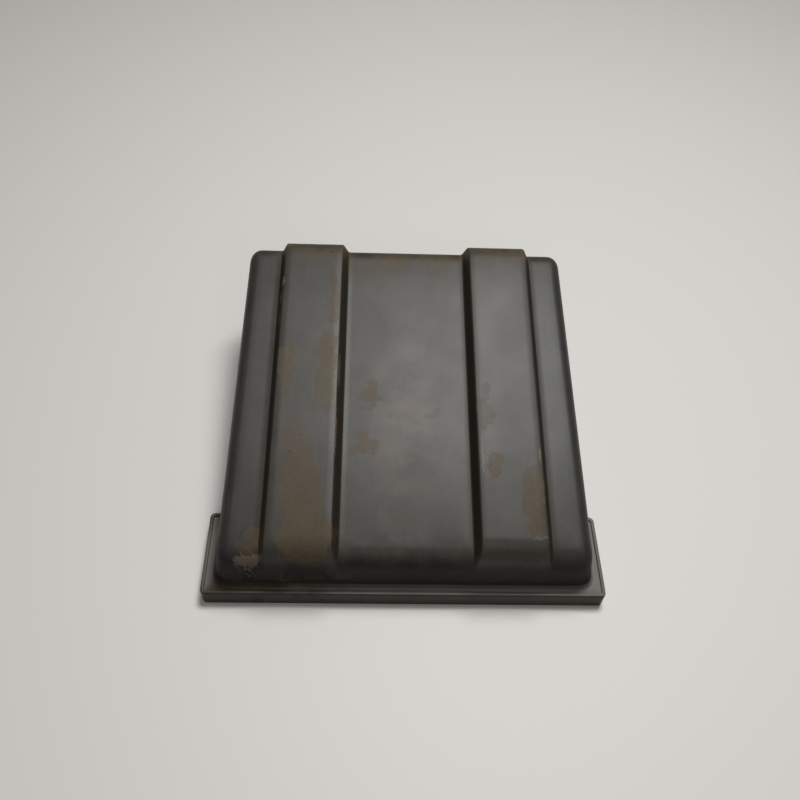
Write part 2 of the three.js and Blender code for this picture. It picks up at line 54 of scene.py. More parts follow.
FLANGE_WIDTH = (shell_high.x - shell_low.x) / MM
FLANGE_DEPTH = 68.0
FLANGE_HEIGHT = 15.7
FLANGE_CORNER = 4.0
LIP = 2.6
LIP_RISE = 2.0
WALL = 3.0
FRONT_Y = 5.6
FACE_Z = 48.8
SLOPE = math.radians(13.3)
FACE_LENGTH = 271.7
HALF_WIDTH = 136.7
TAPER = 0.05
FRONT_LEAN = math.radians(5)
REAR_LEAN = math.radians(1)
FRONT_RADIUS = 17.0
REAR_RADIUS = 13.5
RIB_REAR_RADIUS = 17.5
SIDE_RADIUS = 10.0
FLANGE_HALF = 141.2
REAR_HALF = 136.0
SKIRT_Z = 24.0
RIB_INNER = 49.0
RIB_OUTER = 105.3
RIB_SLANT = 4.3
RIB_RISE = 11.4
RIB_TAPER = 0.0259
FLANGE_TOP = FLANGE_HEIGHT - LIP_RISE


def at(x, y, z):
    """A point of the hood's frame, in metres in the scene."""
    return Vector((x * MM, y * MM + shell_low.y, z * MM))


def back(y):
    """A scene Y as a distance from the flange's front edge, in millimetres."""
    return (y - shell_low.y) / MM


# ---------------------------------------------------------------- camera, floor and light
CAMERA_AT = (-28.1, -270.9, 595.3)
CAMERA_DOWN = math.radians(52.02)
CAMERA_TURN = math.radians(3.4)
CAMERA_ROLL = math.radians(3.65)
CAMERA_SHIFT = (-0.0009, 0.0012)
LENS = 38.25


def make_camera():
    data = bpy.data.cameras.new("camera")
    data.lens = LENS
    data.shift_x, data.shift_y = CAMERA_SHIFT
    camera = bpy.data.objects.new("camera", data)
    bpy.context.scene.collection.objects.link(camera)
    forward = Vector((
        math.sin(CAMERA_TURN) * math.cos(CAMERA_DOWN),
        math.cos(CAMERA_TURN) * math.cos(CAMERA_DOWN),
        -math.sin(CAMERA_DOWN),
    ))
    level = Vector((math.cos(CAMERA_TURN), -math.sin(CAMERA_TURN), 0))
    upright = level.cross(forward)
    right = level * math.cos(CAMERA_ROLL) + upright * math.sin(CAMERA_ROLL)
    up = upright * math.cos(CAMERA_ROLL) - level * math.sin(CAMERA_ROLL)
    turn = Matrix((right, up, -forward)).transposed().to_4x4()
    camera.matrix_world = Matrix.Translation(at(*CAMERA_AT)) @ turn
    bpy.context.scene.camera = camera


def make_floor():
    mesh = bpy.data.meshes.new("floor")
    reach = 3.0
    corners = [(-reach, -reach, 0), (reach, -reach, 0), (reach, reach, 0), (-reach, reach, 0)]
    mesh.from_pydata(corners, [], [(0, 1, 2, 3)])
    floor = bpy.data.objects.new("floor", mesh)
    bpy.context.scene.collection.objects.link(floor)
    material = bpy.data.materials.new("pale_table")
    material.use_nodes = True
    shader = material.node_tree.nodes["Principled BSDF"]
    shader.inputs["Base Color"].default_value = (0.78, 0.76, 0.72, 1)
    shader.inputs["Roughness"].default_value = 0.55
    mesh.materials.append(material)


def area_light(name, place, aim, size, power):
    data = bpy.data.lights.new(name, "AREA")
    data.size = size
    data.energy = power
    light = bpy.data.objects.new(name, data)
    light.location = place
    light.rotation_euler = (Vector(aim) - Vector(place)).to_track_quat("-Z", "Y").to_euler()
    bpy.context.scene.collection.objects.link(light)


def make_light():
    area_light("softbox_top", (0.24, 0.32, 1.55), (0, 0, 0.05), 0.55, 18)
    area_light("softbox_front", (0.15, -1.1, 1.3), (0, -0.1, 0), 0.8, 4)
    world = bpy.data.worlds.new("studio")
    world.use_nodes = True
    background = world.node_tree.nodes["Background"]
    background.inputs["Color"].default_value = (1.0, 0.98, 0.95, 1)
    background.inputs["Strength"].default_value = 0.075
    bpy.context.scene.world = world
    bpy.context.scene.view_settings.view_transform = "Standard"


make_camera()
make_floor()
make_light()


# ---------------------------------------------------------------- shader node helpers
class Tree:
    """Adds nodes to a node tree, setting values and linking sockets by name."""

    def __init__(self, tree):
        self.tree = tree

    def add(self, kind, settings=None, **inputs):
        node = self.tree.nodes.new(kind)
        for key, value in (settings or {}).items():
            setattr(node, key, value)
        for key, value in inputs.items():
            name = key.replace("_", " ")
            socket = node.inputs[int(key[1:])] if key[0] == "i" and key[1:].isdigit() else node.inputs[name]
            self.put(socket, value)
        return node

    def put(self, socket, value):
        if isinstance(value, bpy.types.NodeSocket):
            self.tree.links.new(value, socket)
        else:
            socket.default_value = value

    def math(self, operation, a, b=0.0, clamp=False):
        node = self.add("ShaderNodeMath", {"operation": operation, "use_clamp": clamp}, i0=a, i1=b)
        return node.outputs[0]

    def vector(self, operation, a, b):
        return self.add("ShaderNodeVectorMath", {"operation": operation}, i0=a, i1=b).outputs[0]

    def ramp(self, value, low, high, low_out=0.0, high_out=1.0):
        node = self.add("ShaderNodeMapRange", {"interpolation_type": "SMOOTHSTEP"}, Value=value)
        node.inputs["From Min"].default_value = low
        node.inputs["From Max"].default_value = high
        node.inputs["To Min"].default_value = low_out
        node.inputs["To Max"].default_value = high_out
        return node.outputs["Result"]

    def mix(self, factor, a, b, blend="MIX"):
        node = self.add("ShaderNodeMix", {"data_type": "RGBA", "blend_type": blend})
        self.put(node.inputs[0], factor)
        self.put(node.inputs[6], a)
        self.put(node.inputs[7], b)
        return node.outputs[2]

    def noise(self, vector, scale, detail=4.0, roughness=0.55, distortion=0.0):
        node = self.add("ShaderNodeTexNoise", Vector=vector, Scale=scale, Detail=detail)
        node.inputs["Roughness"].default_value = roughness
        node.inputs["Distortion"].default_value = distortion
        return node.outputs[0]

    def place(self):
        """Object coordinates: every piece's object sits at the origin, so these are metres in the scene."""
        return self.add("ShaderNodeTexCoord").outputs["Object"]


def new_group(name, inputs, outputs):
    """A shader node group; inputs are (name, socket kind, value) and outputs are (name, socket kind)."""
    group = bpy.data.node_groups.new(name, "ShaderNodeTree")
    for label, kind, value in inputs:
        socket = group.interface.new_socket(label, in_out="INPUT", socket_type="NodeSocket" + kind)
        if value is not None:
            socket.default_value = value
    for label, kind in outputs:
        group.interface.new_socket(label, in_out="OUTPUT", socket_type="NodeSocket" + kind)
    tree = Tree(group)
    return group, tree, tree.add("NodeGroupInput").outputs, tree.add("NodeGroupOutput").inputs


def use(tree, group, **inputs):
    node = tree.add("ShaderNodeGroup", {"node_tree": group})
    for key, value in inputs.items():
        tree.put(node.inputs[key.replace("_", " ")], value)
    return node.outputs


# ---------------------------------------------------------------- effects that several materials share
def group_moulded_grain():
    """Fine surface grain of a moulding: a height for bump and a drift for roughness."""
    group, tree, given, out = new_group(
        "Moulded Grain",
        [("Scale", "Float", 900.0), ("Depth", "Float", 1.0)],
        [("Height", "Float"), ("Drift", "Float")],
    )
    place = tree.place()
    fine = tree.noise(place, given["Scale"], 3.0, 0.6)
    broad = tree.noise(place, 22.0, 3.0)
    tree.put(out["Height"], tree.math("MULTIPLY", fine, given["Depth"]))
    tree.put(out["Drift"], broad)
    return group


def group_edge_wear():
    """Worn convex edges, broken up by noise."""
    group, tree, given, out = new_group(
        "Edge Wear",
        [("Amount", "Float", 0.5), ("Start", "Float", 0.53), ("Breakup", "Float", 120.0)],
        [("Mask", "Float")],
    )
    pointiness = tree.add("ShaderNodeNewGeometry").outputs["Pointiness"]
    end = tree.math("ADD", given["Start"], 0.06)
    edge = tree.add("ShaderNodeMapRange", {"interpolation_type": "SMOOTHSTEP"}, Value=pointiness)
    tree.put(edge.inputs["From Min"], given["Start"])
    tree.put(edge.inputs["From Max"], end)
    broken = tree.ramp(tree.noise(tree.place(), given["Breakup"], 4.0, 0.6), 0.38, 0.62)
    mask = tree.math("MULTIPLY", edge.outputs["Result"], broken)
    tree.put(out["Mask"], tree.math("MULTIPLY", mask, given["Amount"], clamp=True))
    return group


def group_dust():
    """Dust that settles on faces that look up."""
    group, tree, given, out = new_group(
        "Settled Dust",
        [("Amount", "Float", 0.3), ("Scale", "Float", 40.0)],
        [("Mask", "Float")],
    )
    normal = tree.add("ShaderNodeSeparateXYZ", Vector=tree.add("ShaderNodeNewGeometry").outputs["Normal"])
    upward = tree.ramp(normal.outputs["Z"], 0.3, 0.95)
    patchy = tree.ramp(tree.noise(tree.place(), given["Scale"], 5.0, 0.6), 0.3, 0.75)
    mask = tree.math("MULTIPLY", upward, patchy)
    tree.put(out["Mask"], tree.math("MULTIPLY", mask, given["Amount"], clamp=True))
    return group


def group_colour_drift():
    """A base colour that drifts lighter and darker over the surface."""
    group, tree, given, out = new_group(
        "Colour Drift",
        [("Colour", "Color", (0.1, 0.1, 0.1, 1)), ("Range", "Float", 0.25), ("Scale", "Float", 14.0)],
        [("Colour", "Color")],
    )
    cloud = tree.noise(tree.place(), given["Scale"], 4.0, 0.6)
    centred = tree.math("SUBTRACT", cloud, 0.5)
    swing = tree.math("MULTIPLY", centred, given["Range"])
    gain = tree.math("ADD", tree.math("MULTIPLY", swing, 4.0), 1.0)
    grey = tree.add("ShaderNodeCombineColor", i0=gain, i1=gain, i2=gain).outputs[0]
    tree.put(out["Colour"], tree.mix(1.0, given["Colour"], grey, "MULTIPLY"))
    return group


def group_stain_patch():
    """One oval patch of dried residue with a crisp, ragged border; seen in plan, in millimetres."""
    group, tree, given, out = new_group(
        "Stain Patch",
        [
            ("Ragged Place", "Vector", None),
            ("Centre", "Vector", (0, 0, 0)),
            ("Half Size", "Vector", (10, 10, 1000)),
            ("Softness", "Float", 0.12),
        ],
        [("Mask", "Float")],
    )
    offset = tree.vector("SUBTRACT", given["Ragged Place"], given["Centre"])
    scaled = tree.vector("DIVIDE", offset, given["Half Size"])
    distance = tree.add("ShaderNodeVectorMath", {"operation": "LENGTH"}, i0=scaled).outputs["Value"]
    inside = tree.math("SUBTRACT", 1.0, distance)
    mask = tree.math("DIVIDE", inside, given["Softness"], clamp=True)
    tree.put(out["Mask"], mask)
    return group


GRAIN = group_moulded_grain()
WEAR = group_edge_wear()
DUST = group_dust()
DRIFT = group_colour_drift()
STAIN = group_stain_patch()


def new_material(name):
    material = bpy.data.materials.new(name)
    material.use_nodes = True
    tree = Tree(material.node_tree)
    shader = material.node_tree.nodes["Principled BSDF"]
    return material, tree, shader


def bumped(tree, shader, height, strength, distance):
    bump = tree.add("ShaderNodeBump", Height=height)
    bump.inputs["Strength"].default_value = strength
    bump.inputs["Distance"].default_value = distance
    tree.put(shader.inputs["Normal"], bump.outputs["Normal"])


# ---------------------------------------------------------------- materials
HOOD_GREY = (0.038, 0.033, 0.025, 1)
# Painted shade: a darker, cooler grey for the hood's outer strips and side roundings.
HOOD_SIDE_SHADE_GREY = (0.026, 0.026, 0.025, 1)
# A paler grey for the mid-face: a scuff, and painted sheen.
SCUFF_AND_SHEEN_GREY = (0.105, 0.080, 0.062, 1)
WIPED_GREY = (0.085, 0.082, 0.074, 1)
RESIDUE_DARK = (0.060, 0.042, 0.020, 1)
RESIDUE_PALE = (0.125, 0.088, 0.044, 1)
SPECK_BLACK = (0.004, 0.003, 0.002, 1)
FLANGE_GREY = (0.150, 0.136, 0.118, 1)
FLANGE_BROWN = (0.058, 0.042, 0.025, 1)
# Near-black for oily dirt with painted shade on the front wall.
GRIME_AND_SHADE_BLACK = (0.0045, 0.004, 0.0035, 1)
CAKED_BROWN = (0.030, 0.019, 0.010, 1)
# Dark brown for dirt and painted shade in the rib feet, and for dirt on the flange's front edge.
EDGE_DIRT_AND_SHADE_BROWN = (0.014, 0.009, 0.005, 1)
CHIP_PALE = (0.22, 0.17, 0.12, 1)
WORN_GREY = (0.15, 0.14, 0.125, 1)
DUST_PALE = (0.20, 0.18, 0.15, 1)

# Patches on the hood, seen in plan: centre across, centre back, half width, half length, strength.
RESIDUE = [
    (-58, 214, 5, 24, 0.9),
    (-60, 168, 8, 19, 1.0),
    (-63, 134, 8, 22, 0.9),
    (-92, 152, 7, 26, 0.8),
    (-84, 92, 9, 20, 0.7),
    (-76, 52, 17, 36, 0.85),
    (-72, 22, 22, 22, 0.8),
    (-27, 137, 9, 11, 0.9),
    (-32, 97, 12, 9, 0.9),
    (65, 75, 6, 8, 1.0),
    (92, 50, 7, 30, 0.9),
    (60, 119, 5, 20, 0.45),
    (-110, 18, 9, 18, 0.7),
    (20, 120, 5, 5, 0.25),
]
CHIPS = [
    (-99.5, 228, 1.2, 5, 0.9),
    (-100.5, 214, 0.9, 5, 0.7),
    (-101, 196, 0.7, 8, 0.35),
    (-113, 12, 11, 3, 0.38),
    (-52, 150, 0.8, 14, 0.35),
    (-53, 100, 0.7, 20, 0.35),
    (56, 84, 0.8, 16, 0.4),
    (99, 84, 1.0, 6, 0.4),
    (96, 22, 6, 1.2, 0.25),
]
PATCH_HALF_HEIGHT = 1000


def product(tree, first, *others):
    """Masks multiplied together."""
    for other in others:
        first = tree.math("MULTIPLY", first, other)
    return first


def ragged_place(tree, place, scale, detail, roughness, push):
    """The place pushed about by noise, so that a patch's border comes out ragged."""
    warp = tree.add("ShaderNodeTexNoise", Vector=place, Scale=scale, Detail=detail)
    warp.inputs["Roughness"].default_value = roughness
    centred = tree.vector("SUBTRACT", warp.outputs["Color"], (0.5, 0.5, 0.5))
    return tree.vector("ADD", place, tree.vector("MULTIPLY", centred, push))


def patches_mask(tree, ragged, patches):
    """All the oval patches of a list together."""
    total = None
    for across, backwards, half_x, half_y, strength in patches:
        patch = use(
            tree,
            STAIN,
            Ragged_Place=ragged,
            Centre=(across, backwards, 0),
            Half_Size=(half_x, half_y, PATCH_HALF_HEIGHT),
        )["Mask"]
        part = tree.math("MULTIPLY", patch, strength)
        total = part if total is None else tree.math("MAXIMUM", total, part)
    return total


class HoodPlace:
    """Where a point of the hood lies, in millimetres of the hood's own frame, as node outputs."""

    def __init__(self, tree):
        shifted = tree.vector("SUBTRACT", tree.place(), (0, shell_low.y, 0))
        scaled = tree.add("ShaderNodeVectorMath", {"operation": "SCALE"}, i0=shifted)
        scaled.inputs["Scale"].default_value = 1 / MM
        self.point = scaled.outputs[0]
        parts = tree.add("ShaderNodeSeparateXYZ", Vector=self.point)
        self.across, self.backwards, self.height = (parts.outputs[axis] for axis in "XYZ")
        self.off_centre = tree.math("ABSOLUTE", self.across)


def clean_hood_colour(tree, where):
    """Dark grey, darker and cooler at the sides as painted shade, with a pale middle that is partly a scuff
    and partly painted sheen, and fine streaks from wiping.
    """
    plain = use(tree, DRIFT, Colour=HOOD_GREY, Range=0.10, Scale=16.0)["Colour"]
    # Painted shade: the outer strips and side roundings turn darker and cooler.
    side_shaded = tree.mix(tree.ramp(where.off_centre, 98, 128, 0.0, 0.75), plain, HOOD_SIDE_SHADE_GREY)
    # A paler oval mid-face, fading towards the front and rear: partly a scuff, partly painted sheen.
    oval = tree.vector("MULTIPLY", tree.vector("SUBTRACT", where.point, (-2, 112, 0)), (1 / 40, 1 / 100, 0))
    radius = tree.add("ShaderNodeVectorMath", {"operation": "LENGTH"}, i0=oval).outputs["Value"]
    cloudy = tree.ramp(tree.noise(where.point, 0.035, 6.0, 0.62), 0.35, 0.7)
    scuff_and_sheen = product(tree, tree.ramp(radius, 0.15, 1.1, 0.8, 0.0), cloudy)
    colour = tree.mix(scuff_and_sheen, side_shaded, SCUFF_AND_SHEEN_GREY)
    drawn_out = tree.vector("MULTIPLY", where.point, (0.5, 0.03, 0.03))
    streaky = tree.ramp(tree.noise(drawn_out, 1.0, 5.0, 0.7), 0.5, 0.8, 0.0, 0.30)
    return tree.mix(streaky, colour, WIPED_GREY)


def residue_mask(tree, where):
    """Brown mottled patches of dried residue, and a brown band along the rear edge of the face."""
    ragged = ragged_place(tree, where.point, 0.075, 4.5, 0.55, (24, 40, 0))
    mottle = tree.ramp(tree.noise(where.point, 0.5, 6.0, 0.7), 0.25, 0.6, 0.45, 1.0)
    patches = product(tree, patches_mask(tree, ragged, RESIDUE), mottle)
    rear_band = product(
        tree,
        tree.ramp(where.backwards, 236, 262, 0.0, 0.8),
        tree.ramp(tree.noise(where.point, 0.05, 5.0, 0.6), 0.35, 0.6),
        tree.ramp(where.off_centre, 104, 112, 1.0, 0.15),
        tree.ramp(where.height, 68, 98),
    )
    return tree.math("MAXIMUM", patches, rear_band)


def specks_mask(tree, where):
    """Dark specks and small pits, in loose groups."""
    cells = tree.add("ShaderNodeTexVoronoi", {"feature": "F1"}, Vector=where.point, Scale=0.09)
    dot = tree.ramp(cells.outputs["Distance"], 0.03, 0.09, 1.0, 0.0)
    return product(tree, dot, tree.ramp(tree.noise(where.point, 0.05, 2.0), 0.5, 0.55))


def stained_flange(tree, where, colour):
    """The flange over the hood's colour: brown at the left, greyer towards the middle and the right."""
    on_flange = tree.ramp(where.height, FLANGE_HEIGHT + 1.5, FLANGE_HEIGHT + 4.5, 1.0, 0.0)
    patchy = tree.ramp(tree.noise(where.point, 0.02, 4.0), 0.35, 0.65, 0.2, 1.0)
    brown = product(tree, patchy, tree.ramp(where.across, -90, 60, 1.0, 0.15))
    return tree.mix(on_flange, colour, tree.mix(brown, FLANGE_GREY, FLANGE_BROWN))


def front_grime_and_shade_mask(tree, where):
    """Oily dirt and painted shade low on the front wall, thinning out unevenly over the rounded edge."""
    rise = tree.math("MULTIPLY", tree.noise(where.point, 0.07, 5.0, 0.6), 16.0)
    uneven = tree.math("ADD", where.height, rise)
    return product(
        tree,
        tree.ramp(uneven, 46, 64, 1.0, 0.0),
        tree.ramp(where.backwards, 22, 36, 1.0, 0.0),
        tree.ramp(where.height, FLANGE_HEIGHT + 0.5, FLANGE_HEIGHT + 5),
    )


def edge_dirt_and_shade_mask(tree, where):
    """Dirt and painted shade in the foot of each rib's sides, darker where the sides face sideways, and dirt
    on the flange's front edge.
    """
    shrink = tree.math("MULTIPLY", where.backwards, RIB_TAPER / (FACE_LENGTH * math.cos(SLOPE)))
    narrowed = tree.math("MULTIPLY", where.off_centre, tree.math("ADD", 1.0, shrink))
    from_inner = tree.math("ABSOLUTE", tree.math("SUBTRACT", narrowed, RIB_INNER + RIB_SLANT * 0.4))
    from_outer = tree.math("ABSOLUTE", tree.math("SUBTRACT", narrowed, RIB_OUTER - RIB_SLANT * 0.4))
    nearest = tree.math("MINIMUM", from_inner, from_outer)
    in_foot = tree.ramp(nearest, RIB_SLANT * 0.45, RIB_SLANT * 0.75, 1.0, 0.0)
    facing = tree.add("ShaderNodeSeparateXYZ", Vector=tree.add("ShaderNodeNewGeometry").outputs["Normal"])
    # Painted shade: the rib sides darken where they face sideways.
    sideways = tree.ramp(tree.math("ABSOLUTE", facing.outputs["X"]), 0.35, 0.8)
    front_edge = tree.math("MULTIPLY", tree.ramp(where.backwards, 0.3, 1.2, 1.0, 0.0), 0.9)
    return tree.math("MAXIMUM", product(tree, in_foot, sideways, 0.5), front_edge)


def hood_polish(tree, where, dirt_and_shade):
    """A faint polish over clean plastic, lost under the dirt and painted shade masks and towards the front
    and rear edges.
    """
    dull = tree.math(
        "ADD",
        tree.ramp(where.backwards, 15, 110, 0.26, 0.0),
        tree.ramp(where.backwards, 200, 262, 0.0, 0.12),
    )
    clean = tree.math("SUBTRACT", 0.32, dull)
    return tree.math("SUBTRACT", clean, tree.math("MULTIPLY", dirt_and_shade, 0.32), clamp=True)


def hood_plastic():
    """Matte dark grey moulding with painted shade at the sides, a pale middle that is partly a scuff and
    partly painted sheen, brown residue, and oily dirt with painted shade in the corner above the flange.
    """
    material, tree, shader = new_material("hood_plastic")
    where = HoodPlace(tree)
    residue = residue_mask(tree, where)
    specks = specks_mask(tree, where)
    grime_and_shade = front_grime_and_shade_mask(tree, where)
    edge_dirt_and_shade = edge_dirt_and_shade_mask(tree, where)
    # Oily dirt, edge dirt and painted shade together; they hold back the wear and the polish.
    dirt_and_shade = tree.math("MAXIMUM", grime_and_shade, edge_dirt_and_shade)

    brown = tree.mix(tree.noise(where.point, 0.3, 4.0), RESIDUE_DARK, RESIDUE_PALE)
    colour = tree.mix(tree.math("MULTIPLY", residue, 0.85), clean_hood_colour(tree, where), brown)
    colour = tree.mix(specks, colour, SPECK_BLACK)
    colour = stained_flange(tree, where, colour)
    # Oily dirt and painted shade: the front wall and the corner above the flange turn near-black.
    colour = tree.mix(tree.math("MULTIPLY", grime_and_shade, 0.93), colour, GRIME_AND_SHADE_BLACK)
    caked = tree.ramp(tree.noise(where.point, 0.09, 5.0, 0.6), 0.5, 0.66)
    caked = product(tree, caked, grime_and_shade, tree.ramp(where.across, -60, -10, 0.9, 0.15))
    colour = tree.mix(caked, colour, CAKED_BROWN)
    # Dirt and painted shade in the rib feet, and dirt on the flange's front edge.
    colour = tree.mix(edge_dirt_and_shade, colour, EDGE_DIRT_AND_SHADE_BROWN)
    chips = patches_mask(tree, ragged_place(tree, where.point, 0.35, 5.0, 0.5, (3, 8, 0)), CHIPS)
    colour = tree.mix(chips, colour, CHIP_PALE)
    wear = use(tree, WEAR, Amount=0.55, Start=0.515, Breakup=90.0)["Mask"]
    colour = tree.mix(product(tree, wear, tree.math("SUBTRACT", 1.0, dirt_and_shade)), colour, WORN_GREY)
    colour = tree.mix(use(tree, DUST, Amount=0.06, Scale=60.0)["Mask"], colour, DUST_PALE)
    tree.put(shader.inputs["Base Color"], colour)

    grain = use(tree, GRAIN, Scale=1500.0, Depth=1.0)
    rough = tree.math("ADD", tree.math("MULTIPLY", grain["Drift"], 0.22), 0.38)
    rough = tree.math("ADD", rough, tree.math("MULTIPLY", residue, 0.25))
    rough = tree.math("ADD", rough, tree.math("MULTIPLY", grime_and_shade, 0.15), clamp=True)
    tree.put(shader.inputs["Roughness"], rough)
    shader.inputs["Specular IOR Level"].default_value = 0.28
    shader.inputs["Coat Roughness"].default_value = 0.42
    tree.put(shader.inputs["Coat Weight"], hood_polish(tree, where, dirt_and_shade))
    relief = tree.math("MULTIPLY", grain["Height"], 0.25)
    relief = tree.math("ADD", relief, tree.math("MULTIPLY", residue, 0.5))
    relief = tree.math("SUBTRACT", relief, tree.math("MULTIPLY", specks, 0.4))
    bumped(tree, shader, relief, 0.35, 0.0004)
    return material


def plain_moulding(name, colour, worn, rough, grain_scale=1300.0, wear_amount=0.5):
    material, tree, shader = new_material(name)
    base = use(tree, DRIFT, Colour=colour, Range=0.12, Scale=30.0)["Colour"]
    wear = use(tree, WEAR, Amount=wear_amount, Start=0.52, Breakup=160.0)["Mask"]
    base = tree.mix(wear, base, worn)
    dust = use(tree, DUST, Amount=0.35, Scale=70.0)["Mask"]
    base = tree.mix(dust, base, (0.16, 0.14, 0.115, 1))
    tree.put(shader.inputs["Base Color"], base)
    grain = use(tree, GRAIN, Scale=grain_scale, Depth=1.0)
    drift = tree.math("MULTIPLY", grain["Drift"], 0.25)
    tree.put(shader.inputs["Roughness"], tree.math("ADD", drift, rough - 0.12))
    bumped(tree, shader, grain["Height"], 0.3, 0.0003)
    return material


def plated_steel(name, colour, tarnish, rough):
    """Plated or bare steel, brushed, with tarnish in patches."""
    material, tree, shader = new_material(name)
    shader.inputs["Metallic"].default_value = 1.0
    base = use(tree, DRIFT, Colour=colour, Range=0.12, Scale=60.0)["Colour"]
    patches = tree.ramp(tree.noise(tree.place(), 140.0, 6.0, 0.65), 0.52, 0.66)
    base = tree.mix(tree.math("MULTIPLY", patches, 0.7), base, tarnish)
    wear = use(tree, WEAR, Amount=0.6, Start=0.52, Breakup=300.0)["Mask"]
    base = tree.mix(wear, base, (0.72, 0.71, 0.68, 1))
    tree.put(shader.inputs["Base Color"], base)
    grain = use(tree, GRAIN, Scale=2500.0, Depth=1.0)
    roughness = tree.math("ADD", tree.math("MULTIPLY", grain["Drift"], 0.2), rough)
    roughness = tree.math("ADD", roughness, tree.math("MULTIPLY", patches, 0.25), clamp=True)
    tree.put(shader.inputs["Roughness"], roughness)
    bumped(tree, shader, grain["Height"], 0.15, 0.0002)
    return material


def filter_paper():
    """Pleated filter paper: fibrous, dusty on the folds."""
    material, tree, shader = new_material("filter_paper")
    place = tree.place()
    base = use(tree, DRIFT, Colour=(0.46, 0.36, 0.20, 1), Range=0.10, Scale=45.0)["Colour"]
    stretched = tree.add("ShaderNodeVectorMath", {"operation": "MULTIPLY"}, i0=place, i1=(1.0, 0.25, 1.0))
    fibres = tree.noise(stretched.outputs[0], 2600.0, 4.0, 0.7)
    base = tree.mix(tree.ramp(fibres, 0.45, 0.7, 0.0, 0.35), base, (0.62, 0.52, 0.34, 1))
    soot = tree.ramp(tree.noise(place, 75.0, 5.0, 0.6), 0.45, 0.7, 0.0, 0.6)
    base = tree.mix(soot, base, (0.13, 0.10, 0.065, 1))
    tree.put(shader.inputs["Base Color"], base)
    shader.inputs["Roughness"].default_value = 0.9
    shader.inputs["Sheen Weight"].default_value = 0.15
    bumped(tree, shader, fibres, 0.4, 0.0002)
    return material


MATERIALS = {
    "hood_plastic": hood_plastic(),
    "black_plastic": plain_moulding("black_plastic", (0.030, 0.030, 0.029, 1), (0.11, 0.11, 0.10, 1), 0.48),
    "filter_frame": plain_moulding(
        "filter_frame", (0.045, 0.040, 0.032, 1), (0.10, 0.09, 0.07, 1), 0.75, 700.0, 0.3,
    ),
    "filter_paper": filter_paper(),
    "zinc_steel": plated_steel("zinc_steel", (0.46, 0.44, 0.38, 1), (0.20, 0.15, 0.09, 1), 0.28),
    "spring_steel": plated_steel("spring_steel", (0.42, 0.42, 0.43, 1), (0.13, 0.08, 0.05, 1), 0.22),
    "rubber": plain_moulding("rubber", (0.016, 0.016, 0.016, 1), (0.06, 0.058, 0.055, 1), 0.80, 1800.0, 0.4),
}
SLOT_OF = {part["node"]: part["material_slot"] for part in frame["record"]["subparts"]}
BODY_OF = {node: body for body, nodes in frame["record"]["behaviour"]["bodies"].items() for node in nodes}


# ---------------------------------------------------------------- mesh helpers
def make_object(name, bm, material):
    mesh = bpy.data.meshes.new(name)
    bm.to_mesh(mesh)
    bm.free()
    mesh.materials.append(material)
    piece = bpy.data.objects.new(name, mesh)
    bpy.context.scene.collection.objects.link(piece)
    return piece


def smooth_by_angle(piece, degrees=35):
    """Smooth shading, with edges sharper than the angle kept crisp."""
    bm = bmesh.new()
    bm.from_mesh(piece.data)
    for face in bm.faces:
        face.smooth = True
    for edge in bm.edges:
        if len(edge.link_faces) == 2:
            edge.smooth = edge.calc_face_angle() < math.radians(degrees)
    bm.to_mesh(piece.data)
    bm.free()


def apply_modifiers(piece):
    evaluated = piece.evaluated_get(bpy.context.evaluated_depsgraph_get())
    mesh = bpy.data.meshes.new_from_object(evaluated)
    piece.modifiers.clear()
    old = piece.data
    piece.data = mesh
    bpy.data.meshes.remove(old)


def bevel(piece, width, segments=3, degrees=30):
    modifier = piece.modifiers.new("edges", "BEVEL")
    modifier.width = width * MM
    modifier.segments = segments
    modifier.limit_method = "ANGLE"
    modifier.angle_limit = math.radians(degrees)
    modifier.harden_normals = False


def stand_for(piece, node):
    """The piece takes a CAD node's place and body; its finish is given when the piece is made."""
    apply_modifiers(piece)
    smooth_by_angle(piece)
    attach(piece, BODY_OF[node])
    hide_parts(node)


def material_for(node):
    return MATERIALS[SLOT_OF[node]]


def patch(bm, rows, closed=False):
    """Faces over a grid of points; closed joins each row's end to its start."""
    made = [[bm.verts.new(point) for point in row] for row in rows]
    for lower, upper in zip(made, made[1:]):
        count = len(lower)
        for i in range(count if closed else count - 1):
            j = (i + 1) % count
            bm.faces.new((lower[i], lower[j], upper[j], upper[i]))
    return made


def clean(bm, distance=0.00001):
    bmesh.ops.remove_doubles(bm, verts=bm.verts, dist=distance)
    bmesh.ops.dissolve_degenerate(bm, edges=bm.edges, dist=distance)
    bmesh.ops.recalc_face_normals(bm, faces=bm.faces)


def turned(name, profile, centre, axis, material, sides=64):
    """A turned piece: the profile is a closed loop of (radius, distance along the axis), in millimetres."""
    bm = bmesh.new()
    rows = []
    for step in range(sides):
        angle = 2 * math.pi * step / sides
        row = []
        for radius, along in profile:
            u = max(radius, 0.001) * math.cos(angle)
            v = max(radius, 0.001) * math.sin(angle)
            if axis == "Z":
                row.append(at(centre[0] + u, centre[1] + v, centre[2] + along))
            elif axis == "Y":
                row.append(at(centre[0] + u, centre[1] + along, centre[2] + v))
            else:
                row.append(at(centre[0] + along, centre[1] + u, centre[2] + v))
        rows.append(row)
    patch(bm, rows + [rows[0]], closed=True)
    clean(bm, 0.000004)
    return make_object(name, bm, material)


def prism(bm, outline, x0, x1):
    """A closed outline of (back, up) points carried across from x0 to x1."""
    ends = [[bm.verts.new(at(x, y, z)) for y, z in outline] for x in (x0, x1)]
    bm.faces.new(ends[0])
    bm.faces.new(list(reversed(ends[1])))
    count = len(outline)
    for i in range(count):
        j = (i + 1) % count
        bm.faces.new((ends[0][i], ends[1][i], ends[1][j], ends[0][j]))


def block(bm, x0, x1, y0, y1, z0, z1):
    prism(bm, [(y0, z0), (y1, z0), (y1, z1), (y0, z1)], x0, x1)


